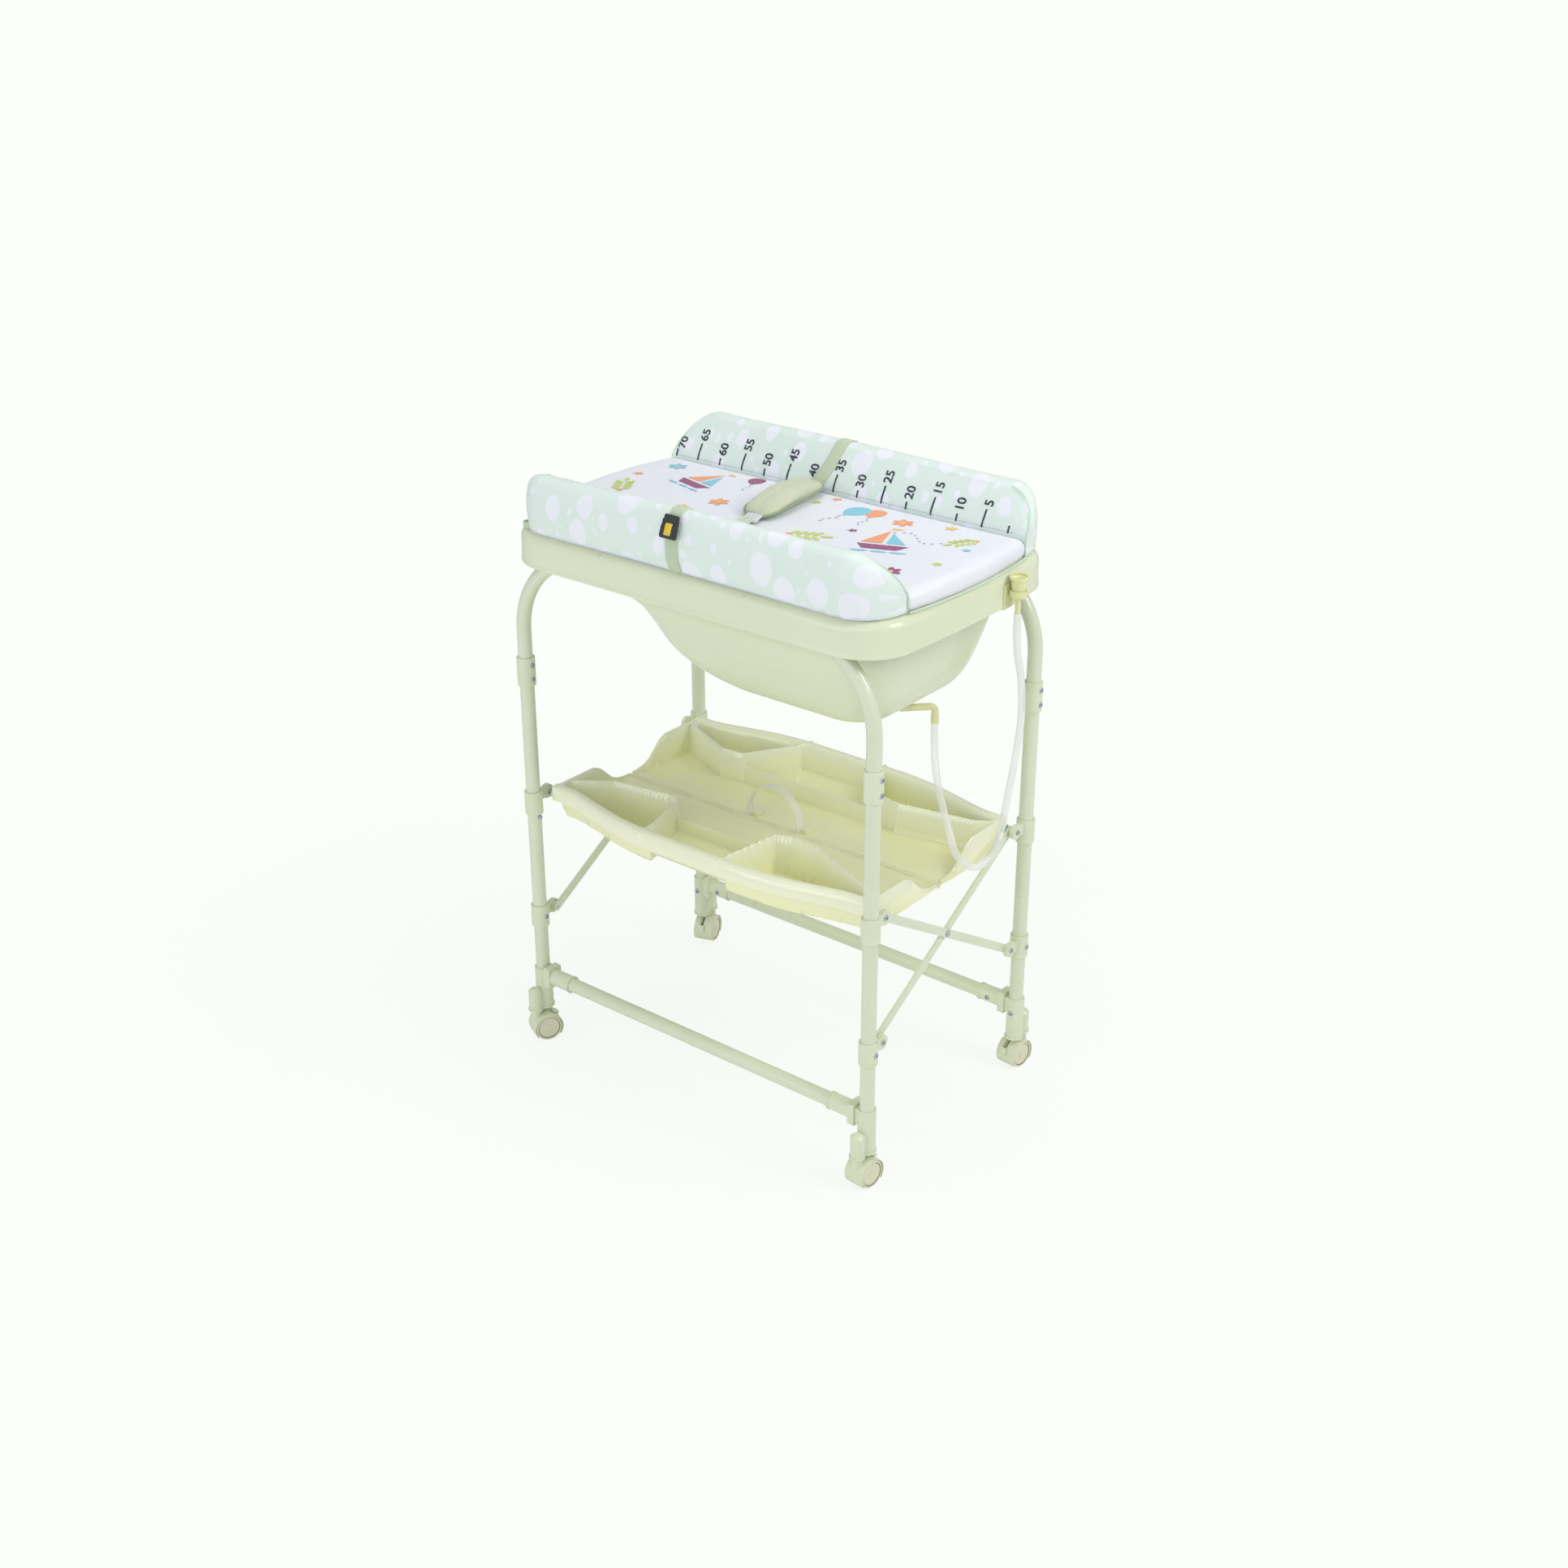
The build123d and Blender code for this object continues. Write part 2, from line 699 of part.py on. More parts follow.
def make_tray_half(bins, shelf, first_knuckle):
    skirt_low_z = rim_top_z - rim_height
    outline = bow_points(tray_half_length, rim_cover)
    knuckle_step = 2 * tray_half_length / (2 * knuckle_pairs)
    with BuildPart() as half:
        # Rim skirt and deck
        with BuildSketch(Plane.XY.offset(skirt_low_z)) as plan:
            with BuildLine():
                edge = FilletPolyline(*outline, radius=bow_radii)
                Polyline(edge @ 0, (tray_half_length, -valley_outer_y),
                         (-tray_half_length, -valley_outer_y), edge @ 1)
            make_face()
        extrude(amount=rim_height)
        fillet(half.edges().group_by(Axis.Z)[-1].sort_by(Axis.Y)[:-3], rim_cover / 2)
        with BuildSketch(Plane.XY.offset(skirt_low_z)):
            with BuildLine():
                inner = FilletPolyline(
                    *[(x * (1 - tray_wall / tray_half_length), y + tray_wall) for x, y in outline],
                    radius=bow_radii)
                Polyline(inner @ 0, (tray_half_length - tray_wall, -valley_outer_y),
                         (tray_wall - tray_half_length, -valley_outer_y), inner @ 1)
            make_face()
        extrude(amount=rim_height - tray_wall, mode=Mode.SUBTRACT)
        # Valley that falls from the deck to the hinge
        with BuildSketch(Plane.YZ.offset(-tray_half_length)):
            Polygon(
                (-valley_outer_y - tray_wall, rim_top_z - tray_wall),
                (-valley_outer_y - tray_wall, rim_top_z),
                (-valley_outer_y, rim_top_z),
                (-valley_bend_y, valley_bend_z),
                (-seam_clear, valley_seam_z),
                (-seam_clear, valley_seam_z - tray_wall),
                (-valley_bend_y, valley_bend_z - tray_wall),
                (-valley_outer_y, rim_top_z - tray_wall),
                align=None,
            )
        extrude(amount=2 * tray_half_length)
        for end in ends.values():
            with BuildSketch(Plane.YZ.offset(end * tray_half_length)):
                Polygon(
                    (-valley_outer_y - tray_wall, rim_top_z - tray_wall),
                    (-valley_outer_y, rim_top_z + end_rib_height / 2),
                    (-valley_bend_y, valley_bend_z + end_rib_height),
                    (-seam_clear, valley_seam_z + end_rib_height),
                    (-seam_clear, valley_seam_z - tray_wall),
                    (-valley_bend_y, valley_bend_z - tray_wall),
                    align=None,
                )
            extrude(amount=-end * end_rib_width)
        # Bins and shelf hang from the deck
        for shares in bins:
            add(make_bin(shares, bin_floor_z, tray_wall, tray_wall).part)
        add(make_bin(shelf, shelf_floor_z, tray_wall, tray_wall).part)
        for shares in bins:
            add(make_bin(shares, bin_floor_z, 0, 0).part, mode=Mode.SUBTRACT)
        add(make_bin(shelf, shelf_floor_z, 0, 0).part, mode=Mode.SUBTRACT)
        # Notches where the tube leaves the rim
        for end in ends.values():
            with BuildSketch(Plane.YZ.offset(end * (tray_half_length + overrun))):
                with Locations((-pivot_y, slide_pivot_z)):
                    Circle(notch_width / 2)
                with Locations((-pivot_y, slide_pivot_z - notch_width / 2)):
                    Rectangle(notch_width, notch_width)
            extrude(amount=-end * (tray_wall + 2 * overrun), mode=Mode.SUBTRACT)
        # Knuckles of the hinge, every other place along the seam
        for place in range(first_knuckle, 2 * knuckle_pairs, 2):
            low_x = -tray_half_length + place * knuckle_step + knuckle_gap / 2
            with BuildSketch(Plane.YZ.offset(low_x)):
                with Locations((0, seam_pin_z)):
                    Circle(knuckle_od / 2)
                with Locations((-seam_clear / 2, valley_seam_z - tray_wall / 2)):
                    Rectangle(seam_clear, tray_wall)
                with Locations((0, seam_pin_z)):
                    Circle(seam_pin_d / 2 + pivot_fit, mode=Mode.SUBTRACT)
            extrude(amount=knuckle_step - knuckle_gap)
    return half


def make_seam_pin():
    with BuildPart() as pin:
        with BuildSketch(Plane.YZ.offset(-tray_half_length)):
            with Locations((0, seam_pin_z)):
                Circle(seam_pin_d / 2)
        extrude(amount=2 * tray_half_length)
    return pin


def make_pull_strap():
    foot_z = valley_seam_z + bracket_height
    half_span = strap_span / 2
    with BuildPart() as strap:
        with BuildSketch(Plane.XZ.offset(-bracket_y + strap_width / 2)):
            with BuildLine():
                outer = ThreePointArc(
                    (strap_centre_x - half_span, foot_z),
                    (strap_centre_x, foot_z + strap_rise),
                    (strap_centre_x + half_span, foot_z),
                )
                inner = ThreePointArc(
                    (strap_centre_x - half_span + strap_thick, foot_z),
                    (strap_centre_x, foot_z + strap_rise - strap_thick),
                    (strap_centre_x + half_span - strap_thick, foot_z),
                )
                Line(outer @ 0, inner @ 0)
                Line(outer @ 1, inner @ 1)
            make_face()
        extrude(amount=strap_width)
    return strap


# Casters, built with the stem on the Z axis and the wheels trailing along +Y
def make_caster_hood():
    slot_plane = Plane(origin=(0, caster_trail, wheel_r), x_dir=(0, 1, 0), z_dir=(1, 0, 0))
    with BuildPart() as hood:
        with BuildSketch(slot_plane):
            Circle(hood_r)
        extrude(amount=hood_half, both=True)
        fillet(hood.edges(), hood_wall / 2)
        with BuildSketch(Plane.XY.offset(wheel_r)):
            Circle(neck_od / 2)
        extrude(amount=neck_top_z - wheel_r)
        with BuildSketch(slot_plane.offset(-hood_half)):
            Circle(hood_bore_r)
        extrude(amount=hood_half - web_thick - web_gap, mode=Mode.SUBTRACT)
        with BuildSketch(slot_plane.offset(-web_gap)):
            Circle(hood_bore_r)
        extrude(amount=hood_half + web_gap, mode=Mode.SUBTRACT)
        with BuildSketch(slot_plane):
            Circle(axle_d / 2 + pivot_fit)
        extrude(amount=-hood_half, mode=Mode.SUBTRACT)
        with BuildSketch(Plane.XY.offset(hood_open_z)):
            with Locations((0, caster_trail)):
                Rectangle(2 * hood_half, 2 * hood_r)
        extrude(amount=-hood_r, mode=Mode.SUBTRACT)
        low = radians(brake_down_angle - brake_slot_margin)
        high = radians(brake_up_angle + brake_slot_margin)
        reach = 2 * hood_r
        with BuildSketch(slot_plane):
            Polygon((0, 0), (reach * cos(low), reach * sin(low)),
                    (reach * cos(high), reach * sin(high)), align=None)
        extrude(amount=web_gap + brake_arm_width, mode=Mode.SUBTRACT)
        with BuildSketch(Plane.XY.offset(neck_top_z)):
            Circle(stem_r)
        extrude(amount=stem_height)
    return hood


def make_caster_wheels():
    with BuildPart() as wheels:
        with BuildSketch(Plane.YZ.offset(wheel_gap / 2)):
            with Locations((caster_trail, wheel_r)):
                Circle(wheel_r)
        extrude(amount=wheel_width)
        fillet(wheels.edges(), wheel_edge_r)
        with BuildSketch(Plane.YZ.offset(wheel_gap / 2 + wheel_width - wheel_dish)):
            with Locations((caster_trail, wheel_r)):
                Circle(wheel_r - 2 * wheel_edge_r)
                Circle(axle_d, mode=Mode.SUBTRACT)
        extrude(amount=wheel_dish, mode=Mode.SUBTRACT)
        with BuildSketch(Plane.YZ):
            with Locations((caster_trail, wheel_r)):
                Circle(axle_d / 2)
        extrude(amount=wheel_gap / 2)
        mirror(about=Plane.YZ)
    return wheels


def make_brake(angle):
    turn = radians(angle)
    arm_plane = Plane(origin=(web_gap, caster_trail, wheel_r),
                      x_dir=(0, cos(turn), sin(turn)), z_dir=(1, 0, 0))
    tab_x = hood_r + brake_gap + brake_tab_thick / 2
    with BuildPart() as brake:
        with BuildSketch(arm_plane):
            Circle(brake_ring_d / 2)
            with Locations((tab_x / 2, 0)):
                Rectangle(tab_x, brake_arm_width)
            Circle(axle_d / 2 + seat_gap, mode=Mode.SUBTRACT)
        extrude(amount=web_thick)
        with BuildSketch(arm_plane.offset(web_thick / 2)):
            with Locations((tab_x, 0)):
                Rectangle(brake_tab_thick, brake_tab_length)
        extrude(amount=brake_tab_width / 2, both=True)
        tab_end = brake.faces().sort_by(Axis.X)[-1]
        fillet(tab_end.edges(), soft_edge)
    return brake


# Bath tub
basin_level_shares = [
    # height share of the depth, left and right x shares, half width share, left and right corner shares
    (1.000, 1.000, 1.000, 1.000, 0.46, 0.36),
    (0.750, 0.860, 0.968, 0.975, 0.46, 0.34),
    (0.610, 0.560, 0.957, 0.950, 0.46, 0.32),
    (0.490, 0.480, 0.945, 0.905, 0.46, 0.32),
    (0.290, 0.415, 0.920, 0.810, 0.45, 0.32),
    (0.190, 0.340, 0.900, 0.760, 0.43, 0.32),
    (0.100, 0.200, 0.868, 0.705, 0.40, 0.31),
    (0.035, 0.040, 0.820, 0.630, 0.34, 0.28),
    (0.000, -0.120, 0.750, 0.540, 0.26, 0.24),
]


def make_basin(inset, top_z, floor_z):
    """Basin body, its sides moved in by inset, between two heights."""
    depth = top_z - floor_z
    with BuildPart() as basin:
        for height, left, right, width, left_r, right_r in basin_level_shares:
            low_x = inset - left * basin_top_left
            high_x = right * basin_top_right - inset
            half_y = width * basin_top_half_width - inset
            with BuildSketch(Plane.XY.offset(floor_z + height * depth)) as level:
                with BuildLine():
                    Polyline((low_x, -half_y), (high_x, -half_y), (high_x, half_y),
                             (low_x, half_y), close=True)
                make_face()
                fillet(level.vertices().group_by(Axis.X)[0], left_r * basin_top_half_width - inset)
                fillet(level.vertices().group_by(Axis.X)[-1], right_r * basin_top_half_width - inset)
        loft(ruled=True)
    return basin


def rim_plan(inset):
    """Corner points of the rim's plan, for its bowed ends."""
    corner_x = tub_half_length - tub_end_bow - inset
    return corner_x, tub_half_width - inset, tub_half_length - inset


def make_rim_block(inset, low_z, high_z, round_r):
    corner_x, half_y, end_x = rim_plan(inset)
    with BuildPart() as block:
        with BuildSketch(Plane.XY.offset(low_z)) as plan:
            with BuildLine():
                front = Line((-corner_x, -half_y), (corner_x, -half_y))
                back = Line((-corner_x, half_y), (corner_x, half_y))
                ThreePointArc((corner_x, -half_y), (end_x, 0), (corner_x, half_y))
                ThreePointArc((-corner_x, -half_y), (-end_x, 0), (-corner_x, half_y))
            make_face()
            fillet(plan.vertices(), tub_corner_r - inset)
        extrude(amount=high_z - low_z)
        fillet(block.edges().group_by(Axis.Z)[-1], round_r)
    return block


def make_tub():
    outer_rim = make_rim_block(0, skirt_low_z, tub_top_z, rim_round)
    under_rim = make_rim_block(tub_wall, skirt_low_z, tub_top_z - tub_wall, rim_round - tub_wall)
    outer_basin = make_basin(0, tub_top_z - tub_wall, basin_floor_z)
    inner_basin = make_basin(tub_wall, tub_top_z, basin_floor_z + tub_wall)
    rib_low_z = top_tube_z + tube_r + seat_gap
    with BuildPart() as tub:
        add(outer_rim.part)
        add(under_rim.part, mode=Mode.SUBTRACT)
        for rib_x in rib_places:
            for side in sides.values():
                with BuildSketch(Plane.YZ.offset(rib_x)):
                    with Locations((side * leg_y, (rib_low_z + tub_top_z - tub_wall) / 2)):
                        Rectangle(tub_half_width - basin_top_half_width + tub_wall,
                                  tub_top_z - tub_wall - rib_low_z)
                extrude(amount=rib_thick)
        add(outer_basin.part)
        with BuildSketch(Plane.XY.offset(basin_floor_z - tub_foot_height)):
            with Locations((tub_foot_x, -tub_foot_y), (tub_foot_x, tub_foot_y),
                           (tub_foot_left_x, -tub_foot_y), (tub_foot_left_x, tub_foot_y)):
                Circle(tub_foot_d / 2)
        extrude(amount=tub_foot_height + tub_wall)
        add(inner_basin.part, mode=Mode.SUBTRACT)
        with BuildSketch(Plane.XY.offset(basin_floor_z - tub_wall)):
            with Locations((drain_x, drain_y)):
                Circle(drain_hole_d / 2)
        extrude(amount=3 * tub_wall, mode=Mode.SUBTRACT)
    return tub


# Drain: nut, elbow and hose
def make_drain_nut():
    with BuildPart() as nut:
        with BuildSketch(Plane.XY.offset(basin_floor_z - nut_height)):
            with Locations((drain_x, drain_y)):
                Circle(nut_d / 2)
        extrude(amount=nut_height)
        with BuildSketch(Plane.XY.offset(basin_floor_z - nut_height)):
            with Locations((drain_x, drain_y)):
                Circle(pipe_od / 2 + slip_fit)
                with PolarLocations(nut_d / 2, nut_grips):
                    Circle(nut_grip_r)
        extrude(amount=nut_height, mode=Mode.SUBTRACT)
    return nut


def make_drain_elbow():
    top_z = basin_floor_z + 2 * tub_wall
    with BuildPart() as elbow:
        with BuildLine() as route:
            FilletPolyline(
                (drain_x, drain_y, top_z),
                (drain_x, drain_y, elbow_run_z),
                (hose_start_x, hose_start_y, elbow_run_z),
                (hose_start_x, hose_start_y, elbow_low_z),
                radius=elbow_r,
            )
        with BuildSketch(Plane(origin=(drain_x, drain_y, top_z), z_dir=(0, 0, -1))):
            Circle(pipe_od / 2)
        sweep()
        with BuildSketch(Plane.XY.offset(basin_floor_z + tub_wall)):
            with Locations((drain_x, drain_y)):
                Circle(nut_d / 2)
        extrude(amount=tub_wall)
        for turn in range(barb_count):
            low_z = elbow_low_z + turn * barb_length
            with BuildSketch(Plane.XY.offset(low_z)):
                with Locations((hose_start_x, hose_start_y)):
                    Circle(pipe_od / 2 + barb_reach)
            extrude(amount=barb_length, taper=barb_angle)
    return elbow


def make_elbow_bore():
    top_z = basin_floor_z + 2 * tub_wall
    with BuildPart() as bore:
        with BuildLine() as route:
            FilletPolyline(
                (drain_x, drain_y, top_z),
                (drain_x, drain_y, elbow_run_z),
                (hose_start_x, hose_start_y, elbow_run_z),
                (hose_start_x, hose_start_y, elbow_low_z),
                radius=elbow_r,
            )
        with BuildSketch(Plane(origin=(drain_x, drain_y, top_z), z_dir=(0, 0, -1))):
            Circle(pipe_bore / 2)
        sweep()
    return bore


# Route of the hose, from the elbow round its hanging loop to the cup
hose_points = [
    (hose_start_x, hose_start_y, elbow_low_z),
    (hose_start_x, hose_start_y, 676),
    (hose_start_x + 13, 50, 640),
    (hose_start_x + 36, 29, 609),
    (hose_start_x + 62, 8, 584),
    (cup_x - 41.6, -8, 560),
    (cup_x - 26.6, -15.5, 533.5),
    (cup_x - 14.1, -4.5, 509.5),
    (cup_x - 5.1, 20, 496.5),
    (cup_x - 0.6, 47.5, 499.5),
    (cup_x + 1.9, 69, 517.5),
    (cup_x + 1.4, 81, 549),
    (cup_x + 1.4, 97, 608),
    (cup_x + 1.4, 114, 672),
    (cup_x + 1.4, 126, 738),
    (cup_x + 0.4, 119, 804),
    (cup_x, cup_y, 862),
    (cup_x, cup_y, nipple_low_z),
]


run_share = 0.45


def corner_radii(points):
    """Arc for each corner: a share of the shorter run over the tangent of half the turn."""
    radii = []
    for before, here, after in zip(points, points[1:], points[2:]):
        run_in = Vector(*here) - Vector(*before)
        run_out = Vector(*after) - Vector(*here)
        half_turn = radians(run_in.get_angle(run_out)) / 2
        radii.append(run_share * min(run_in.length, run_out.length) / tan(half_turn))
    return radii


def make_hose():
    radii = corner_radii(hose_points)
    print("hose radii", [round(r) for r in radii])
    start = Vector(*hose_points[0])
    first = Vector(*hose_points[1]) - start
    with BuildPart() as hose:
        with BuildLine() as route:
            FilletPolyline(*hose_points, radius=radii)
        with BuildSketch(Plane(origin=start, z_dir=first)):
            Circle(hose_od / 2)
            Circle(hose_bore / 2, mode=Mode.SUBTRACT)
        sweep()
    section = pi * (hose_od ** 2 - hose_bore ** 2) / 4
    length = sum(edge.length for edge in route.edges())
    print("hose length", round(length), "volume share", round(hose.part.volume / section / length, 4))
    return hose


# Cup at the hose's end
def make_hose_cup():
    throat_r = cup_throat_d / 2
    mouth_r = cup_mouth_d / 2
    with BuildPart() as cup:
        with BuildSketch(Plane(origin=(cup_x, cup_y, 0), x_dir=(1, 0, 0), z_dir=(0, -1, 0))):
            with BuildLine():
                Polyline(
                    (nipple_bore / 2, nipple_low_z),
                    (nipple_d / 2, nipple_low_z),
                    (nipple_d / 2, cup_low_z),
                    (throat_r, cup_low_z),
                    (throat_r + cup_wall, cup_top_z - 2 * cup_lip),
                    (mouth_r, cup_top_z - cup_lip),
                    (mouth_r, cup_top_z),
                    (mouth_r - cup_wall, cup_top_z),
                    (mouth_r - cup_wall, cup_top_z - cup_lip + cup_wall / 2),
                    (throat_r, cup_top_z - 2 * cup_lip + cup_wall / 2),
                    (throat_r - cup_wall, cup_low_z + cup_wall),
                    (nipple_bore / 2, cup_low_z + cup_wall),
                    close=True,
                )
            make_face()
        revolve(axis=Axis((cup_x, cup_y, 0), (0, 0, 1)))
    return cup


# Clip that hooks on the rim's end and holds the cup
def rim_end_r():
    return (tub_half_width ** 2 + tub_end_bow ** 2) / (2 * tub_end_bow)


def make_hose_clip():
    bow_r = rim_end_r()
    lean = atan2(cup_y, sqrt(bow_r ** 2 - cup_y ** 2))
    face_x = tub_half_length - bow_r + bow_r * cos(lean)
    outward = (cos(lean), sin(lean), 0)
    along = (-sin(lean), cos(lean), 0)
    throat_r = cup_throat_d / 2
    clip_plane = Plane(origin=(face_x, cup_y, 0), x_dir=outward, z_dir=(sin(lean), -cos(lean), 0))
    near = seat_gap
    far = seat_gap + clip_thick
    ring_z = clip_ring_low_z
    cone = throat_r + cup_wall + slip_fit
    with BuildPart() as clip:
        with BuildSketch(clip_plane):
            Polygon(
                (near, skirt_low_z - seat_gap),
                (-clip_hook, skirt_low_z - seat_gap),
                (-clip_hook, skirt_low_z - seat_gap - clip_thick),
                (far, skirt_low_z - seat_gap - clip_thick),
                (far, clip_top_z),
                (near, clip_top_z),
                align=None,
            )
        extrude(amount=clip_length / 2, both=True)
        with BuildSketch(Plane.XY.offset(ring_z)):
            with Locations((cup_x, cup_y)):
                Circle(cone + clip_ring_wall)
        extrude(amount=clip_ring_height)
        with BuildSketch(Plane.XY.offset(ring_z)):
            with Locations((cup_x, cup_y)):
                Circle(cone)
        extrude(amount=clip_ring_height, mode=Mode.SUBTRACT)
    return clip


# Changing mat
def bolster_outline(side, ridge_z, end_in, drop):
    """Section of a bolster across its length, its outer side moved in and its top lowered."""
    outer_y = mat_half_width - end_in
    top_z = ridge_z - drop
    shoulder_z = top_z - ridge_width / 3
    crown_y = ridge_y - end_in * bolster_lean_share
    brow_y = crown_y - ridge_width / 2
    base_out = (side * (outer_y - bolster_bulge), mat_low_z)
    face = (side * outer_y, (mat_low_z + top_z) / 2)
    shoulder = (side * (crown_y + ridge_width / 2), shoulder_z)
    top = (side * (crown_y + ridge_width / 8), top_z)
    brow = (side * brow_y, shoulder_z)
    slope = (side * (brow_y + crease_y) / 2, (shoulder_z + pad_top_z) / 2 + bolster_bulge)
    crease = (side * crease_y, pad_top_z)
    base_in = (side * crease_y, mat_low_z)
    with BuildSketch() as outline:
        with BuildLine():
            ThreePointArc(base_out, face, shoulder)
            ThreePointArc(shoulder, top, brow)
            ThreePointArc(brow, slope, crease)
            Line(crease, base_in)
            Line(base_in, base_out)
        make_face()
    return outline


# Places along a bolster's end as shares of the half length, with shares of the inward step and the drop
bolster_end_shares = [(0.80, 0.00, 0.00), (0.89, 0.06, 0.03), (0.955, 0.36, 0.20), (1.00, 1.00, 0.72)]


def make_bolster(side, ridge_z):
    straight_x = bolster_end_shares[0][0] * mat_half_length
    with BuildPart() as bolster:
        with BuildSketch(Plane.YZ.offset(-straight_x)):
            add(bolster_outline(side, ridge_z, 0, 0).sketch)
        extrude(amount=2 * straight_x)
        for end in ends.values():
            for place, step, drop in bolster_end_shares:
                with BuildSketch(Plane.YZ.offset(end * place * mat_half_length)):
                    add(bolster_outline(side, ridge_z, step * bolster_end_in, drop * bolster_end_drop).sketch)
            loft()
    return bolster


def make_mat_pad():
    end_x = mat_half_length + mat_bow
    with BuildPart() as pad:
        with BuildSketch(Plane.XY.offset(mat_low_z)):
            with BuildLine():
                Line((-mat_half_length, -crease_y), (mat_half_length, -crease_y))
                Line((-mat_half_length, crease_y), (mat_half_length, crease_y))
                ThreePointArc((mat_half_length, -crease_y), (end_x, 0), (mat_half_length, crease_y))
                ThreePointArc((-mat_half_length, -crease_y), (-end_x, 0), (-mat_half_length, crease_y))
            make_face()
        extrude(amount=pad_thick + pad_crown)
        with BuildSketch(Plane.YZ.offset(-end_x)):
            with BuildLine():
                ThreePointArc((-crease_y, pad_top_z), (0, pad_top_z + pad_crown), (crease_y, pad_top_z))
                Polyline((crease_y, pad_top_z), (crease_y, mat_low_z),
                         (-crease_y, mat_low_z), (-crease_y, pad_top_z))
            make_face()
        extrude(amount=2 * end_x, mode=Mode.INTERSECT)
    return pad


# Harness: webbing over each bolster, with tie loops under the mat's corners
def make_webbing(side, ridge_z, centre_x, low_z, crease_gap):
    high_z = ridge_z + 2 * webbing_thick
    inner_y = crease_y + crease_gap
    outer_y = mat_half_width + 2 * webbing_thick
    with BuildPart() as webbing:
        with BuildSketch(Plane.YZ.offset(centre_x - webbing_width / 2)):
            add(bolster_outline(side, ridge_z, 0, 0).sketch)
            offset(amount=webbing_thick)
            add(bolster_outline(side, ridge_z, 0, 0).sketch, mode=Mode.SUBTRACT)
            with Locations((side * (inner_y + outer_y) / 2, (low_z + high_z) / 2)):
                Rectangle(outer_y - inner_y, high_z - low_z, mode=Mode.INTERSECT)
        extrude(amount=webbing_width)
    return webbing


# Places along the belly pad as shares of its length, with shares of its width and its thickness
belly_pad_shares = [
    (-0.5, 0.62, 0.45), (-0.25, 0.96, 0.9), (0, 1.0, 1.0), (0.25, 0.96, 0.9), (0.5, 0.62, 0.45),
]


def make_belly_pad():
    rest_z = pad_top_z + pad_crown + seat_gap
    with BuildPart() as pad:
        for place, wide, high in belly_pad_shares:
            half = belly_pad_width * wide / 2
            with BuildSketch(Plane.XZ.offset(-(belly_pad_y + place * belly_pad_length))):
                with BuildLine():
                    ThreePointArc((belly_pad_x - half, rest_z + belly_pad_thick / 4),
                                  (belly_pad_x, rest_z + belly_pad_thick * high),
                                  (belly_pad_x + half, rest_z + belly_pad_thick / 4))
                    ThreePointArc((belly_pad_x - half, rest_z + belly_pad_thick / 4),
                                  (belly_pad_x, rest_z),
                                  (belly_pad_x + half, rest_z + belly_pad_thick / 4))
                make_face()
        loft()
    return pad


def make_buckle():
    tilt = radians(buckle_tilt)
    face = Plane(origin=(harness_x, -buckle_y, buckle_z), x_dir=(1, 0, 0), z_dir=(0, -cos(tilt), sin(tilt)))
    with BuildPart() as buckle:
        with BuildSketch(face):
            RectangleRounded(buckle_width, buckle_length, buckle_thick / 2)
        extrude(amount=buckle_thick)
        with BuildSketch(face.offset(buckle_thick)):
            RectangleRounded(buckle_width / 2, buckle_length * 2 / 3, buckle_thick / 4)
        extrude(amount=-buckle_thick / 4, mode=Mode.SUBTRACT)
    return buckle


# All pieces, named and written
for side_name, side in sides.items():
    finish(make_upper_tube(side), side_name + "_upper_tube")
    for end_name, end in ends.items():
        finish(make_leg(side, end), side_name + "_" + end_name + "_leg")
    finish(make_sleeve_pair(side), side_name + "_leg_sleeves")
    finish(make_foot_pair(side), side_name + "_foot_mouldings")
    finish(make_bottom_bar(side), side_name + "_bottom_bar")
    finish(make_bar_end_pair(side), side_name + "_bar_ends")
    low_brace_x = (brace_a_x if side < 0 else brace_b_x) + brace_thick / 2
    high_brace_x = (brace_b_x if side < 0 else brace_a_x) + brace_thick / 2
    finish(make_collar_pair(side, low_collar_z, low_collar_height, low_pivot_z, low_brace_x, True),
           side_name + "_fixed_collars")
    finish(make_collar_pair(side, slide_collar_z, slide_collar_height, slide_pivot_z, high_brace_x, False),
           side_name + "_slide_collars")
    finish(make_frame_screws(side), side_name + "_frame_screws")
    finish(make_slider_screws(side), side_name + "_slider_screws")
    finish(make_tray_tube(side), side_name + "_tray_tube")

for end_name, end in ends.items():
    finish(make_brace(end, brace_a_x, 1), end_name + "_brace_a")
    finish(make_brace(end, brace_b_x, -1), end_name + "_brace_b")
    finish(make_snap_button(end), end_name + "_snap_button")
finish(make_cross_rivets(), "cross_rivets")

tray_front = make_tray_half(front_bins_shares, front_shelf_shares, 0)
finish(tray_front, "tray_front_half")
back_form = make_tray_half(back_bins_shares, back_shelf_shares, 1)
with BuildPart() as tray_back:
    add(mirror(back_form.part, about=Plane.XZ))
    for bracket_end in ends.values():
        with BuildSketch(Plane.XY.offset(valley_seam_z - tray_wall / 2)):
            with Locations((strap_centre_x + bracket_end * strap_span / 2, bracket_y)):
                Rectangle(bracket_size, bracket_size)
        extrude(amount=bracket_height + tray_wall / 2)
finish(tray_back, "tray_back_half")
finish(make_seam_pin(), "tray_hinge_pin")
finish(make_pull_strap(), "tray_pull_strap")

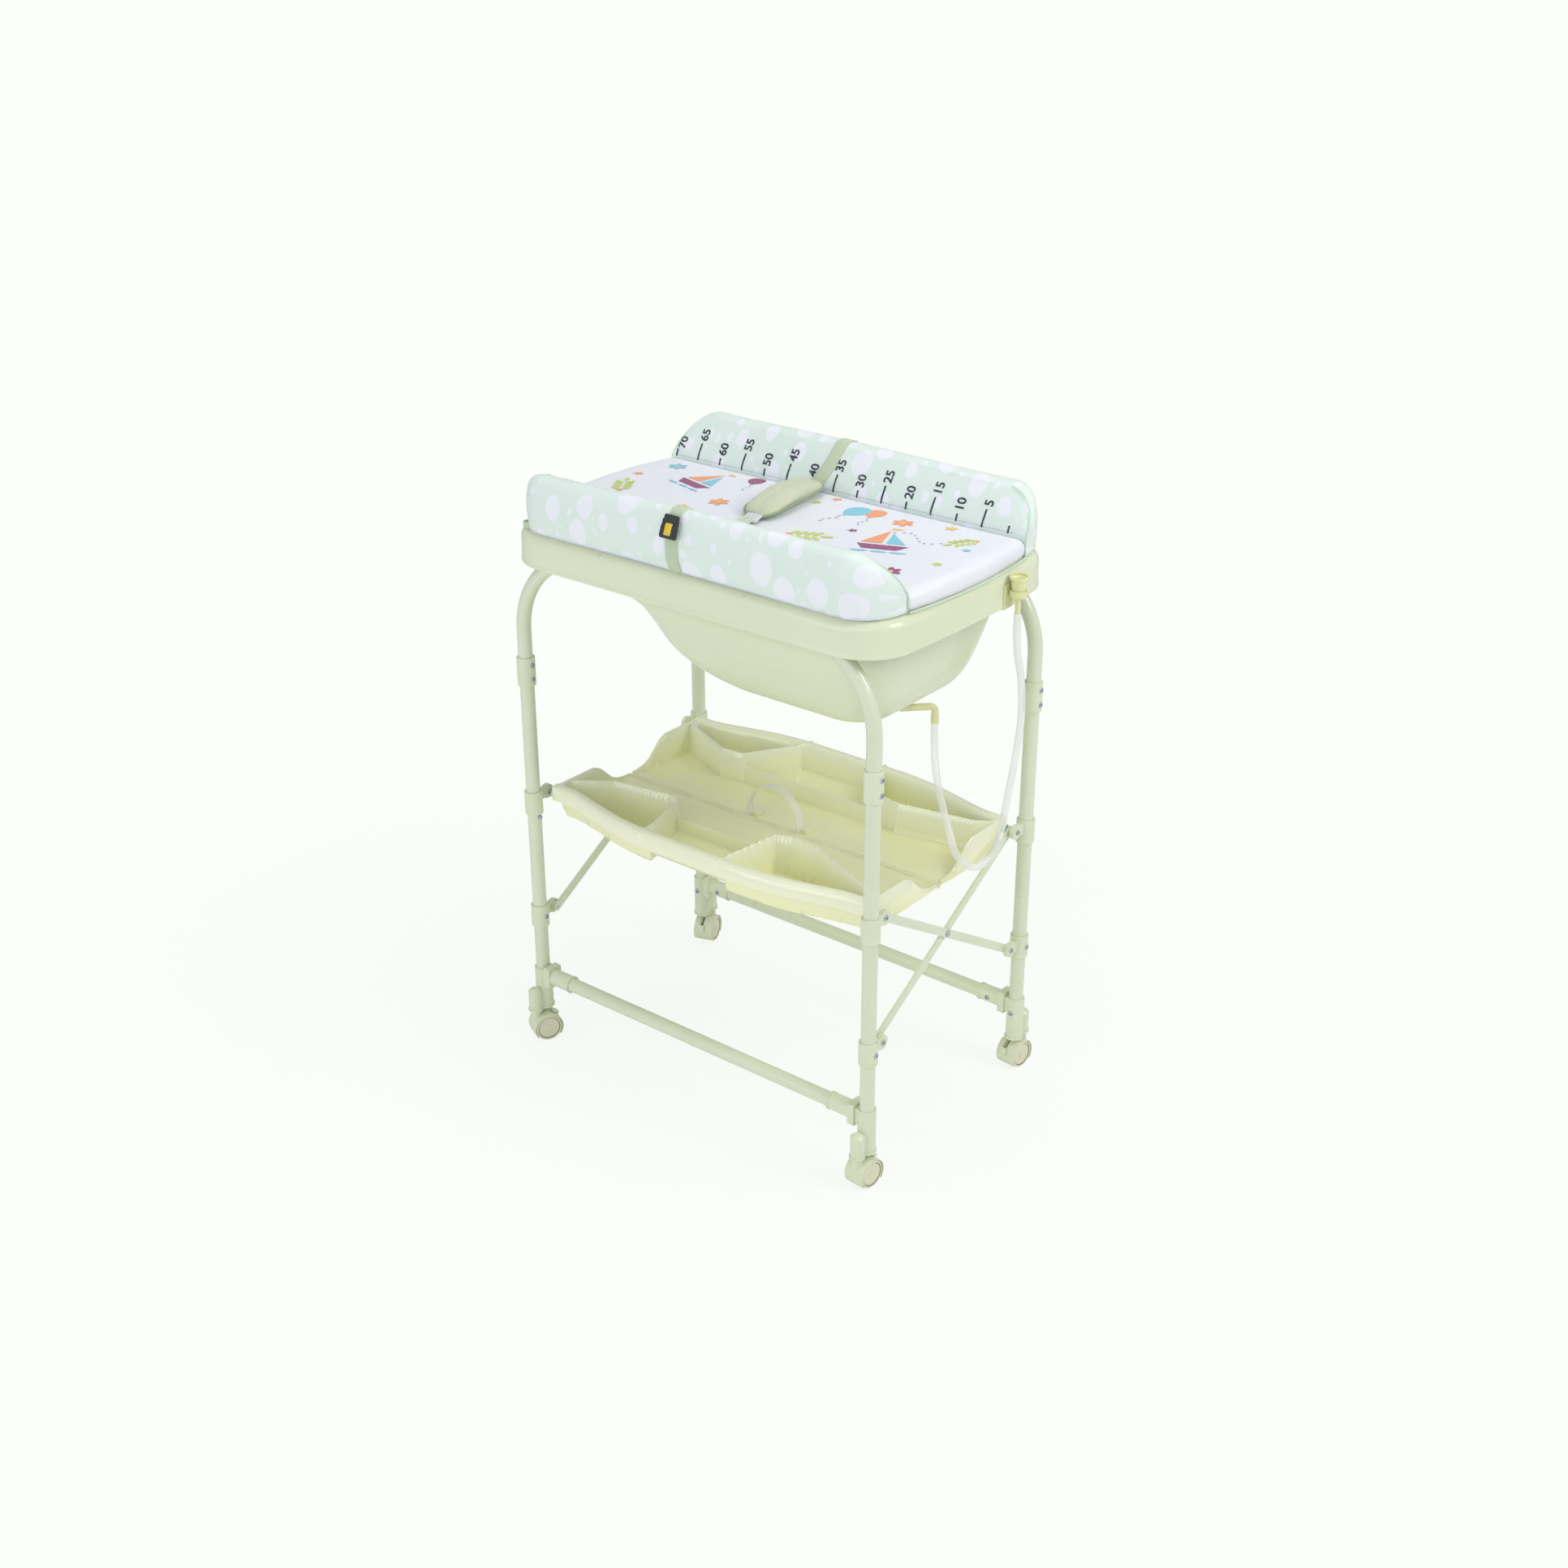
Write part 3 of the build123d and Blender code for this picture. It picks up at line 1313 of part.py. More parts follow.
hood = make_caster_hood()
wheels = make_caster_wheels()
for corner, yaw in caster_yaws.items():
    side_name, end_name = corner.split("_")
    spot = Location((ends[end_name] * leg_x, sides[side_name] * (leg_y + stem_offset), 0), (0, 0, yaw))
    brake = make_brake(brake_down_angle if corner in brakes_down else brake_up_angle)
    for kind, form in (("hood", hood), ("wheels", wheels), ("brake", brake)):
        with BuildPart() as placed:
            add(form.part.moved(spot))
        finish(placed, corner + "_caster_" + kind)

finish(make_tub(), "tub_shell")
finish(make_drain_nut(), "drain_nut")
elbow = make_drain_elbow()
elbow_bore = make_elbow_bore()
with BuildPart() as drain_elbow:
    add(elbow.part)
    add(elbow_bore.part, mode=Mode.SUBTRACT)
finish(drain_elbow, "drain_elbow")
finish(make_hose(), "drain_hose")
finish(make_hose_cup(), "hose_cup")
finish(make_hose_clip(), "hose_clip")

finish(make_mat_pad(), "mat_pad")
finish(make_bolster(-1, front_ridge_z), "front_bolster")
finish(make_bolster(1, back_ridge_z), "back_bolster")
front_web = make_webbing(-1, front_ridge_z, harness_x, mat_low_z + webbing_thick, webbing_width)
back_web = make_webbing(1, back_ridge_z, back_strap_x, pad_top_z, webbing_thick)
with BuildPart() as harness_straps:
    add(front_web.part)
    add(back_web.part)
finish(harness_straps, "harness_straps")
finish(make_belly_pad(), "harness_pad")
finish(make_buckle(), "harness_buckle")
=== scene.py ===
import json
from math import atan2, cos, hypot, pi, radians, sin, sqrt

import bmesh
import bpy
from mathutils import Matrix, Vector, noise
from mathutils.bvhtree import BVHTree


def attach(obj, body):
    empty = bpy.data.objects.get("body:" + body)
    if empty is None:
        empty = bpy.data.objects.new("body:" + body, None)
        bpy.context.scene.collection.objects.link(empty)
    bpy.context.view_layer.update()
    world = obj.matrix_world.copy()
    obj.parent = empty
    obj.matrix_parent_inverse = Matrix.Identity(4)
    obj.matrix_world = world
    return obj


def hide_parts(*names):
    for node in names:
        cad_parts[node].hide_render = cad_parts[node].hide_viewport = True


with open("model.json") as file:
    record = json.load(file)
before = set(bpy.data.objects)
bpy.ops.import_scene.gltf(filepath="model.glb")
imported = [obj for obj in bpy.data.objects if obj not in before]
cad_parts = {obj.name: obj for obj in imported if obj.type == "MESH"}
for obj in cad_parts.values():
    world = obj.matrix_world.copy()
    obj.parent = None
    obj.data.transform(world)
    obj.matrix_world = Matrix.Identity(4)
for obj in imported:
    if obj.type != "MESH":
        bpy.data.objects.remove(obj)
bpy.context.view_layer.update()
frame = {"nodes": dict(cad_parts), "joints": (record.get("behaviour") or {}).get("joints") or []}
nodes_by_name = frame["nodes"]
MM = 0.001

# Sizes of the tub in millimetres, as the solids have them
tub_half_length = 394.0
tub_end_bow = 11.0
tub_half_width = 247.0
tub_corner_r = 78.0
tub_top_z = 986.0
skirt_low_z = 928.0
rim_round = 17.0
rim_return = 6.0
tub_wall = 3.0
basin_floor_z = 757.0
basin_half_width = 208.0
basin_half_length = 345.0
basin_lip = 4.0
rib_places = (-170.0, 130.0)
rib_thick = 4.0
rib_y = 223.5
rib_half_width = 20.0
rib_low_z = 963.0
rib_high_z = 983.2
tub_foot_d = 24.0
tub_foot_height = 6.0
tub_foot_places = ((225.05, 86.0), (60.05, 86.0))

# Sizes of the mat in millimetres
mat_left_x = -366.0
mat_right_x = 379.0
mat_corner = 66.0
mat_bow = 14.0
crease_y = 160.0
mat_half_width = 246.0
mat_low_z = 986.3
pad_top_z = 1017.3
pad_crown = 3.0
ridge_y = 222.0
ridge_width = 34.0
front_ridge_z = 1089.0
back_ridge_z = 1092.0
hem_in = 3.0
hem_height = 5.0
cover_bulge = 1.0
slope_bulge = 3.0
seam_inset = 0.5
webbing_width = 25.0
harness_x = -6.0
back_strap_x = -28.0
buckle_y = -248.6
buckle_z = 1064.0
buckle_tilt = radians(22)


def srgb(red, green, blue):
    """Linear colour of an 8-bit screen colour."""
    def linear(value):
        share = value / 255
        return share / 12.92 if share <= 0.04045 else ((share + 0.055) / 1.055) ** 2.4
    return (linear(red), linear(green), linear(blue), 1.0)


backdrop = srgb(252, 255, 250)


def link(obj):
    bpy.context.scene.collection.objects.link(obj)
    return obj


# Camera, as the photograph was taken
def make_camera():
    data = bpy.data.cameras.new("camera")
    data.sensor_width = 36.0
    data.lens = 47.48
    camera = link(bpy.data.objects.new("camera", data))
    camera.location = (2.02359, -2.51564, 2.07062)
    camera.rotation_euler = (radians(90 - 25.416), 0, radians(38.573))
    bpy.context.scene.camera = camera


make_camera()

# The drain hose, whose route repeats the solid's points
hose_points = [
    (282.05, 64, 708), (282.05, 64, 676), (295.05, 50, 640), (318.05, 29, 609), (344.05, 8, 584),
    (367, -8, 560), (382, -15.5, 533.5), (394.5, -4.5, 509.5), (403.5, 20, 496.5), (408, 47.5, 499.5),
    (410.5, 69, 517.5), (410, 81, 549), (410, 97, 608), (410, 114, 672), (410, 126, 738),
    (409, 119, 804), (408.6, 98, 862), (408.6, 98, 918),
]
hose_od = 12.0


def make_line(name, kind, points, radius, roundness):
    """Round curve. Its points carry the radius, because a curve's bounding box grows by theirs."""
    data = bpy.data.curves.new(name, "CURVE")
    data.dimensions = "3D"
    data.bevel_depth = 1.0
    data.bevel_resolution = roundness
    spline = data.splines.new(kind)
    spline.points.add(len(points) - 1)
    for point, (x, y, z) in zip(spline.points, points):
        point.co = (x * MM, y * MM, z * MM, 1)
        point.radius = radius * MM
    return link(bpy.data.objects.new(name, data)), spline


def make_hose():
    hose, spline = make_line("drain_hose_tube", "NURBS", hose_points, hose_od / 2, 6)
    hose.data.resolution_u = 8
    spline.order_u = 3
    spline.use_endpoint_u = True
    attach(hose, "tub")
    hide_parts("drain_hose")
    return hose


hose = make_hose()


# Materials
class Tree:
    """A node tree being put together."""

    def __init__(self, tree):
        self.nodes = tree.nodes
        self.links = tree.links

    def link(self, start, end):
        self.links.new(start, end)

    def put(self, socket, value):
        """Link a socket to an output, or set it to a plain value."""
        if isinstance(value, bpy.types.NodeSocket):
            self.link(value, socket)
        else:
            socket.default_value = value

    def node(self, kind, *inputs, operation=None, **named):
        """New node with its first inputs and its named ones put."""
        made = self.nodes.new("ShaderNode" + kind)
        if operation:
            made.operation = operation
        for place, value in list(enumerate(inputs)) + list(named.items()):
            self.put(made.inputs[place], value)
        return made

    def math(self, operation, first, second=0.0, clamp=False):
        node = self.node("Math", first, second, operation=operation)
        node.use_clamp = clamp
        return node.outputs[0]

    def blend(self, factor, first, second):
        """Mix of two shaders."""
        return self.node("MixShader", factor, first.outputs[0], second.outputs[0]).outputs[0]


class Shader(Tree):
    """A node material around one principled shader."""

    def __init__(self, name, roughness=0.5, **sockets):
        self.material = bpy.data.materials.new(name)
        self.material.use_nodes = True
        super().__init__(self.material.node_tree)
        self.main = self.nodes["Principled BSDF"]
        self.output = self.nodes["Material Output"]
        self.main.inputs["Roughness"].default_value = roughness
        for socket, value in sockets.items():
            self.main.inputs[socket.replace("_", " ")].default_value = value
        self.place = self.nodes.new("ShaderNodeTexCoord").outputs["Object"]

    def mix(self, factor, first, second):
        node = self.nodes.new("ShaderNodeMix")
        node.data_type = "RGBA"
        for socket, value in ((0, factor), (6, first), (7, second)):
            self.put(node.inputs[socket], value)
        return node.outputs[2]

    def remap(self, value, low, high, new_low=0.0, new_high=1.0):
        return self.node("MapRange", value, low, high, new_low, new_high).outputs[0]

    def stretch(self, scale, turn=(0, 0, 0), vector=None):
        return self.node("Mapping", Vector=vector or self.place, Rotation=turn, Scale=scale).outputs[0]

    def noise(self, scale, detail=3.0, vector=None):
        return self.node("TexNoise", Vector=vector or self.place, Scale=scale, Detail=detail).outputs["Fac"]

    def cells(self, scale, vector=None, randomness=1.0):
        return self.node("TexVoronoi", Vector=vector or self.place, Scale=scale, Randomness=randomness)

    def bands(self, scale, direction):
        node = self.node("TexWave", Vector=self.place, Scale=scale)
        node.bands_direction = direction
        return node.outputs["Fac"]

    def colour(self, factor, light, dark):
        """Base colour between two colours, each 8-bit or an output."""
        pair = [srgb(*shade) if isinstance(shade, tuple) else shade for shade in (light, dark)]
        self.put(self.main.inputs["Base Color"], self.mix(factor, *pair))

    def roughness(self, value, low, high, new_low, new_high):
        self.put(self.main.inputs["Roughness"], self.remap(value, low, high, new_low, new_high))

    def bump(self, value, distance, strength=1.0):
        """Add a bump over those already there."""
        node = self.node("Bump", Distance=distance, Strength=strength, Height=value)
        normal = self.main.inputs["Normal"]
        if normal.is_linked:
            self.link(normal.links[0].from_socket, node.inputs["Normal"])
        self.link(node.outputs[0], normal)


def paint(name, light, dark):
    """Powder coat: fine orange peel and a faint cloud of tone."""
    shader = Shader(name, 0.3, Coat_Weight=0.5, Coat_Roughness=0.08)
    shader.colour(shader.remap(shader.noise(9.0, 2.0), 0.2, 0.8), light, dark)
    shader.roughness(shader.noise(30.0, 1.5), 0.3, 0.7, 0.26, 0.36)
    shader.bump(shader.noise(700.0, 2.0), 0.0003, 0.12)
    return shader.material


def moulded(name, light, dark, roughness, grain=0.12, glow=0.0):
    """Moulded plastic with faint flow marks and fine grain."""
    shader = Shader(name, roughness, Subsurface_Weight=glow, Subsurface_Scale=0.008,
                    Subsurface_Radius=(1.0, 0.9, 0.5))
    flow = shader.noise(4.0, 1.5, shader.stretch((1.0, 2.2, 2.6)))
    shader.colour(shader.remap(flow, 0.2, 0.8), light, dark)
    shader.roughness(shader.noise(14.0, 1.5), 0.2, 0.8, roughness - 0.03, roughness + 0.03)
    shader.bump(shader.noise(1400.0, 2.0), 0.0002, grain)
    return shader.material


def tray_material():
    """Thin translucent yellowish plastic, with painted shade: a deeper yellow lower down, in the deep corners
    of the bins.
    """
    shader = Shader("tray_plastic", 0.2, Subsurface_Weight=0.15, Subsurface_Scale=0.01,
                    Subsurface_Radius=(1.0, 0.9, 0.35), Coat_Weight=0.6)
    height = shader.node("SeparateXYZ", shader.place).outputs["Z"]
    # Painted shade: the colour turns a deeper yellow towards the bins' floors, where shade gathers in the
    # deep corners
    deep_z, shallow_z = 436 * MM, 492 * MM
    tone = shader.mix(shader.remap(height, deep_z, shallow_z), srgb(242, 240, 184), srgb(241, 244, 218))
    shader.colour(shader.remap(shader.noise(7.0, 2.0), 0.2, 0.8, 0.0, 0.3), tone, (241, 243, 208))
    shader.roughness(shader.noise(9.0, 1.5), 0.2, 0.8, 0.13, 0.2)
    shader.bump(shader.noise(16.0, 1.5), 0.0006, 0.2)
    return shader.material


def clear_material(name, tint, thin, thick):
    """Clear soft plastic: see-through face on, milky along its edges."""
    shader = Shader(name, 0.12, Coat_Weight=0.6, Coat_Roughness=0.05)
    shader.colour(shader.noise(18.0, 1.0, shader.stretch((1.0, 1.0, 0.3))), tint, (255, 255, 252))
    shader.bump(shader.noise(50.0, 1.0), 0.0003, 0.12)
    rim = shader.node("LayerWeight", Blend=0.35).outputs["Facing"]
    shader.put(shader.main.inputs["Alpha"], shader.remap(rim, 0.1, 0.9, thin, thick))
    return shader.material


def zinc_material():
    """Bluish zinc plating, brushed round."""
    shader = Shader("zinc_plate", 0.32, Metallic=1.0)
    brush = shader.noise(700.0, 2.0, shader.stretch((1.0, 1.0, 6.0)))
    shader.colour(brush, (150, 165, 186), (206, 214, 222))
    shader.roughness(brush, 0.2, 0.8, 0.22, 0.45)
    shader.bump(brush, 0.0001, 0.5)
    return shader.material


def vinyl(name, ground, *tones):
    """Soft vinyl over foam: fine leather grain, loose creases and a light sheen."""
    shader = Shader(name, 0.42, Sheen_Weight=0.15)
    ground(shader, *tones)
    shader.roughness(shader.noise(40.0), 0.3, 0.7, 0.34, 0.5)
    shader.bump(shader.noise(9.0, 3.0, shader.stretch((0.6, 1.0, 1.3))), 0.004, 0.35)
    shader.bump(shader.cells(650.0).outputs["Distance"], 0.0003, 0.3)
    return shader.material


def flecked_ground(shader, light, dark):
    shader.colour(shader.noise(90.0), light, dark)


def plain_ground(shader):
    shader.colour(shader.remap(shader.noise(5.0, 2.0), 0.3, 0.7), (238, 240, 247), (232, 235, 245))


# Pebbles per metre, smallest and largest reach in cells, turn in the plane and stretch, of both layers
large_pebbles = (14.0, 0.10, 0.42, 0.5, 1.35)
small_pebbles = (34.0, -0.35, 0.34, -0.6, 1.4)
pebble_edge = 40.0
pebble_gap = 0.16


def pebble_ground(shader):
    """Pale ovals of many sizes on mint, laid out on the unrolled cover."""
    flat = shader.nodes.new("ShaderNodeUVMap")
    flat.uv_map = "wrap"
    drift = shader.node("TexNoise", Vector=flat.outputs[0], Scale=26.0, Detail=1.0)
    moved = shader.node("VectorMath", drift.outputs["Color"], (0.012, 0.012, 0.0), flat.outputs[0],
                        operation="MULTIPLY_ADD")

    def layer(scale, low, high, turn, stretch):
        """How far inside a pebble a place lies, in cells, negative outside."""
        lay = shader.stretch((stretch, 1.0, 1.0), (0, 0, turn), moved.outputs[0])
        stones = shader.cells(scale, lay, randomness=0.6)
        stones.voronoi_dimensions = "2D"
        size = shader.node("SeparateColor", stones.outputs["Color"]).outputs[0]
        return shader.math("SUBTRACT", shader.remap(size, 0.0, 1.0, low, high), stones.outputs["Distance"])

    large, small = layer(*large_pebbles), layer(*small_pebbles)
    share = shader.math("MULTIPLY", large, pebble_edge, clamp=True)
    clear = shader.math("MULTIPLY", shader.math("ADD", large, pebble_gap), -pebble_edge, clamp=True)
    between = shader.math("MULTIPLY", shader.math("MULTIPLY", small, pebble_edge, clamp=True), clear)
    cloud = shader.remap(shader.noise(4.0, 2.0), 0.3, 0.7)
    mint = shader.mix(cloud, srgb(226, 239, 233), srgb(219, 235, 227))
    shader.colour(shader.math("MAXIMUM", share, between), mint, (238, 241, 249))


def webbing(name, light, dark, scale):
    """Woven band: ribs across and along it."""
    shader = Shader(name, 0.75, Sheen_Weight=0.4)
    weave = shader.math("MULTIPLY", shader.bands(scale, "X"), shader.bands(scale, "Z"))
    fuzz = shader.noise(scale * 0.9, 2.0)
    thread = shader.remap(shader.math("MULTIPLY", weave, fuzz), 0.0, 0.45, 0.35, 1.0)
    shader.colour(thread, dark, light)
    shader.bump(weave, 0.0005, 0.7)
    shader.bump(fuzz, 0.0003, 0.3)
    return shader.material


def ink(name, shade):
    """Printed colour with a trace of wear."""
    shader = Shader(name, 0.5)
    shader.colour(shader.remap(shader.noise(240.0, 3.0), 0.45, 0.9, 0.0, 0.25), shade, (240, 241, 248))
    shader.bump(shader.cells(650.0).outputs["Distance"], 0.0002, 0.2)
    return shader.material


looks = {
    "paint": paint("cream_powder_coat", (222, 228, 204), (215, 222, 195)),
    "fitting": moulded("cream_fitting", (224, 229, 203), (218, 223, 195), 0.28),
    "tub": moulded("tub_moulding", (225, 231, 204), (221, 227, 198), 0.18, 0.04, 0.05),
    "tray": tray_material(),
    "wheel": moulded("wheel_moulding", (226, 225, 200), (220, 219, 192), 0.38),
    "cup": moulded("cup_moulding", (236, 236, 186), (226, 226, 168), 0.25, 0.15, 0.3),
    "hose": clear_material("clear_hose", (236, 240, 236), 0.42, 0.97),
    "strap": clear_material("clear_strap", (236, 240, 224), 0.45, 0.97),
    "zinc": zinc_material(),
    "pad": vinyl("pad_vinyl", plain_ground),
    "bolster": vinyl("bolster_vinyl", pebble_ground),
    "band": webbing("green_band", (226, 241, 210), (210, 230, 193), 1500.0),
    "quilt": webbing("green_quilt", (226, 232, 202), (212, 221, 184), 1100.0),
    "binding": webbing("green_binding", (168, 192, 152), (132, 160, 120), 1700.0),
    "tab": webbing("white_tab", (244, 246, 248), (214, 220, 226), 1500.0),
    "piping": vinyl("piping_vinyl", flecked_ground, (196, 220, 200), (214, 232, 214)),
    "edging": vinyl("edging_vinyl", flecked_ground, (206, 210, 236), (226, 228, 244)),
    # Painted shade: dark look of the rings that stand in for the shade round each wheel's disc
    "gap": moulded("painted_gap_shade", (92, 90, 72), (80, 78, 62), 0.7),
    "buckle": moulded("buckle_moulding", (52, 56, 62), (38, 41, 46), 0.35),
    "buckle_key": moulded("buckle_key_moulding", (238, 206, 60), (220, 184, 44), 0.35),
    "ruler": ink("ruler_ink", (34, 40, 58)),
    "orange": ink("orange_ink", (245, 163, 112)),
    "blue": ink("blue_ink", (132, 205, 224)),
    "purple": ink("purple_ink", (152, 76, 124)),
    "lime": ink("lime_ink", (206, 219, 112)),
    "yellow": ink("yellow_ink", (250, 200, 96)),
    "grey": ink("grey_ink", (170, 172, 186)),
}
hose.data.materials.append(looks["hose"])


def look_of(name):
    """Look of a node's solid, by its name."""
    if name.endswith(("screws", "rivets", "snap_button")) or name == "tray_hinge_pin":
        return "zinc"
    if name.endswith("wheels"):
        return "wheel"
    if name == "tray_pull_strap":
        return "strap"
    if name.startswith("hose_c") or name == "drain_elbow":
        return "cup"
    if name.startswith("tray_") and name.endswith("half"):
        return "tray"
    if name in ("tub_shell", "drain_nut"):
        return "tub"
    if name.endswith(("sleeves", "mouldings", "bar_ends", "collars", "hood", "brake")):
        return "fitting"
    return "paint"


for name, node in nodes_by_name.items():
    node.data.materials.clear()
    node.data.materials.append(looks[look_of(name)])


# Mesh helpers
def shade_smooth(data):
    for face in data.polygons:
        face.use_smooth = True


def new_object(name, mesh, look, body):
    """Object of a bmesh in millimetres, dressed and riding on a body."""
    bmesh.ops.recalc_face_normals(mesh, faces=mesh.faces)
    bmesh.ops.scale(mesh, vec=(MM, MM, MM), verts=mesh.verts)
    data = bpy.data.meshes.new(name)
    mesh.to_mesh(data)
    mesh.free()
    data.materials.append(looks[look])
    shade_smooth(data)
    obj = link(bpy.data.objects.new(name, data))
    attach(obj, body)
    return obj


def sharpen(obj, angle):
    """Keep edges sharper than the angle, in degrees, crisp under smooth shading."""
    mesh = bmesh.new()
    mesh.from_mesh(obj.data)
    for edge in mesh.edges:
        if edge.is_manifold and edge.calc_face_angle(0.0) > radians(angle):
            edge.smooth = False
    mesh.to_mesh(obj.data)
    mesh.free()


def refine(obj):
    modifier = obj.modifiers.new("finer", "SUBSURF")
    modifier.levels = modifier.render_levels = 1


def add_ring(mesh, points):
    return [mesh.verts.new(point) for point in points]


def join_rings(mesh, rings):
    """Faces between rings with equal counts of vertices."""
    for lower, upper in zip(rings, rings[1:]):
        for index in range(len(lower)):
            after = (index + 1) % len(lower)
            mesh.faces.new((lower[index], lower[after], upper[after], upper[index]))


def cap(mesh, ring):
    """Close a ring with a fan round its middle."""
    centre = mesh.verts.new(sum((vert.co for vert in ring), Vector()) / len(ring))
    for index, vert in enumerate(ring):
        mesh.faces.new((vert, ring[(index + 1) % len(ring)], centre))


def loft(mesh, rings):
    """Closed body between rings."""
    join_rings(mesh, rings)
    cap(mesh, rings[0])
    cap(mesh, rings[-1])


def add_sheet(mesh, rows):
    """Faces between neighbouring rows of vertices."""
    for row, following in zip(rows, rows[1:]):
        for j in range(len(row) - 1):
            mesh.faces.new((row[j], following[j], following[j + 1], row[j + 1]))


def border(rows):
    """Vertices round the edge of a sheet."""
    firsts, lasts = [row[0] for row in rows[:-1]], [row[-1] for row in rows[:0:-1]]
    return firsts + rows[-1][:-1] + lasts + rows[0][:0:-1]


def circle(radius, count):
    """Points round a circle, anticlockwise."""
    turns = [2 * pi * step / count for step in range(count)]
    return [(radius * cos(turn), radius * sin(turn)) for turn in turns]


def add_box(mesh, low, high):
    corners = bmesh.ops.create_cube(mesh, size=1.0)["verts"]
    bmesh.ops.scale(mesh, vec=[b - a for a, b in zip(low, high)], verts=corners)
    bmesh.ops.translate(mesh, vec=[(a + b) / 2 for a, b in zip(low, high)], verts=corners)


def mesh_of(obj):
    """Mesh of an object that was only made for it."""
    made = bpy.data.meshes.new_from_object(obj.evaluated_get(bpy.context.evaluated_depsgraph_get()))
    bpy.data.objects.remove(obj)
    return made


def pour(source, target):
    """Add one bmesh to another and free it."""
    data = bpy.data.meshes.new("poured")
    source.to_mesh(data)
    source.free()
    target.from_mesh(data)


def smooth_between(table, share):
    """Row of a table at a share of its first column, on a smooth curve through its rows."""
    index = next(i for i in range(len(table) - 1) if share <= table[i + 1][0] or i == len(table) - 2)
    before = table[max(index - 1, 0)]
    low, high = table[index], table[index + 1]
    after = table[min(index + 2, len(table) - 1)]
    step = high[0] - low[0]
    t = (share - low[0]) / step
    row = []
    for a, b, c, d in zip(before[1:], low[1:], high[1:], after[1:]):
        slope_in = (c - a) / max(high[0] - before[0], 1e-9) * step
        slope_out = (d - b) / max(after[0] - low[0], 1e-9) * step
        row.append(b * (2 * t ** 3 - 3 * t ** 2 + 1) + slope_in * (t ** 3 - 2 * t ** 2 + t)
                   + c * (3 * t ** 2 - 2 * t ** 3) + slope_out * (t ** 3 - t ** 2))
    return row


# Tub: rings of rounded rectangles from the basin's floor over the rim and back under it
corner_steps = 14
side_steps = 26
basin_steps = 44
basin_crowding = 1.35
foot_steps = 32
lip_turns = (30, 60, 90)
rim_turns = range(0, 91, 10)
# Height share, left and right x shares, half width share, left and right corner shares
basin_shares = [
    (0.000, -0.120, 0.750, 0.540, 0.26, 0.24),
    (0.035, 0.040, 0.820, 0.630, 0.34, 0.28),
    (0.100, 0.200, 0.868, 0.705, 0.40, 0.31),
    (0.190, 0.340, 0.900, 0.760, 0.43, 0.32),
    (0.290, 0.415, 0.920, 0.810, 0.45, 0.32),
    (0.490, 0.480, 0.945, 0.905, 0.46, 0.32),
    (0.610, 0.560, 0.957, 0.950, 0.46, 0.32),
    (0.750, 0.860, 0.968, 0.975, 0.46, 0.34),
    (1.000, 1.000, 1.000, 1.000, 0.46, 0.36),
]
# Inset and height over the skirt's edge, down its outside with a bead and up its inside
skirt_profile = (
    (0.0, 27), (-0.3, 12), (-0.4, 6), (-1.4, 4.5), (-1.6, 2), (-1.0, 0.4), (0.5, 0), (2.2, 0.4),
    (tub_wall, 2), (tub_wall, 22), (tub_wall, 38),
)
# Radius and height shares of a foot
foot_shares = ((0.86, 0.0), (0.97, 0.12), (1.0, 0.3), (1.0, 1.3))


def plan_ring(low_x, high_x, half_y, left_r, right_r, z, bow=0.0):
    """Rounded rectangle, anticlockwise, whose ends bow outward."""
    corners = [
        (high_x - right_r, -half_y + right_r, right_r, -90),
        (high_x - right_r, half_y - right_r, right_r, 0),
        (low_x + left_r, half_y - left_r, left_r, 90),
        (low_x + left_r, -half_y + left_r, left_r, 180),
    ]
    arcs = []
    for centre_x, centre_y, radius, start in corners:
        turns = [radians(start + 90 * step / corner_steps) for step in range(corner_steps + 1)]
        arcs.append([(centre_x + radius * cos(turn), centre_y + radius * sin(turn)) for turn in turns])
    points = []
    for arc, following in zip(arcs, arcs[1:] + arcs[:1]):
        start, end = Vector(arc[-1]), Vector(following[0])
        points += arc + [tuple(start.lerp(end, step / side_steps)) for step in range(1, side_steps)]
    middle = (low_x + high_x) / 2
    return [(x + (bow if x > middle else -bow) * (1 - min(1.0, (y / half_y) ** 2)), y, z) for x, y in points]


def basin_ring(share, inset, low_z, high_z):
    left, right, width, left_r, right_r = smooth_between(basin_shares, share)
    return plan_ring(
        inset - left * basin_half_length, right * basin_half_length - inset,
        width * basin_half_width - inset, left_r * basin_half_width - inset,
        right_r * basin_half_width - inset, low_z + share * (high_z - low_z))


def rim_ring(inset, z):
    corner_x = tub_half_length - tub_end_bow - inset
    return plan_ring(-corner_x, corner_x, tub_half_width - inset,
                     tub_corner_r - inset, tub_corner_r - inset, z, tub_end_bow)


def make_tub():
    mesh = bmesh.new()
    shares = [(step / basin_steps) ** basin_crowding for step in range(basin_steps + 1)]
    inner_top, under_z = tub_top_z - basin_lip, tub_top_z - tub_wall
    rings = [basin_ring(share, tub_wall, basin_floor_z + tub_wall, inner_top) for share in shares]
    for turn in lip_turns:
        ring = basin_ring(1, tub_wall - basin_lip * (1 - cos(radians(turn))), basin_floor_z, inner_top)
        rings.append([(x, y, inner_top + basin_lip * sin(radians(turn))) for x, y, z in ring])
    for turn in rim_turns:
        inset = rim_round * (1 - sin(radians(turn)))
        rings.append(rim_ring(inset, tub_top_z - rim_round * (1 - cos(radians(turn)))))
    rings += [rim_ring(inset, skirt_low_z + rise) for inset, rise in skirt_profile]
    rings += [rim_ring(tub_wall + rim_return, under_z - basin_lip), rim_ring(rim_round, under_z)]
    rings += [basin_ring(share, 0, basin_floor_z, under_z) for share in reversed(shares)]
    loft(mesh, [add_ring(mesh, ring) for ring in rings])
    return mesh


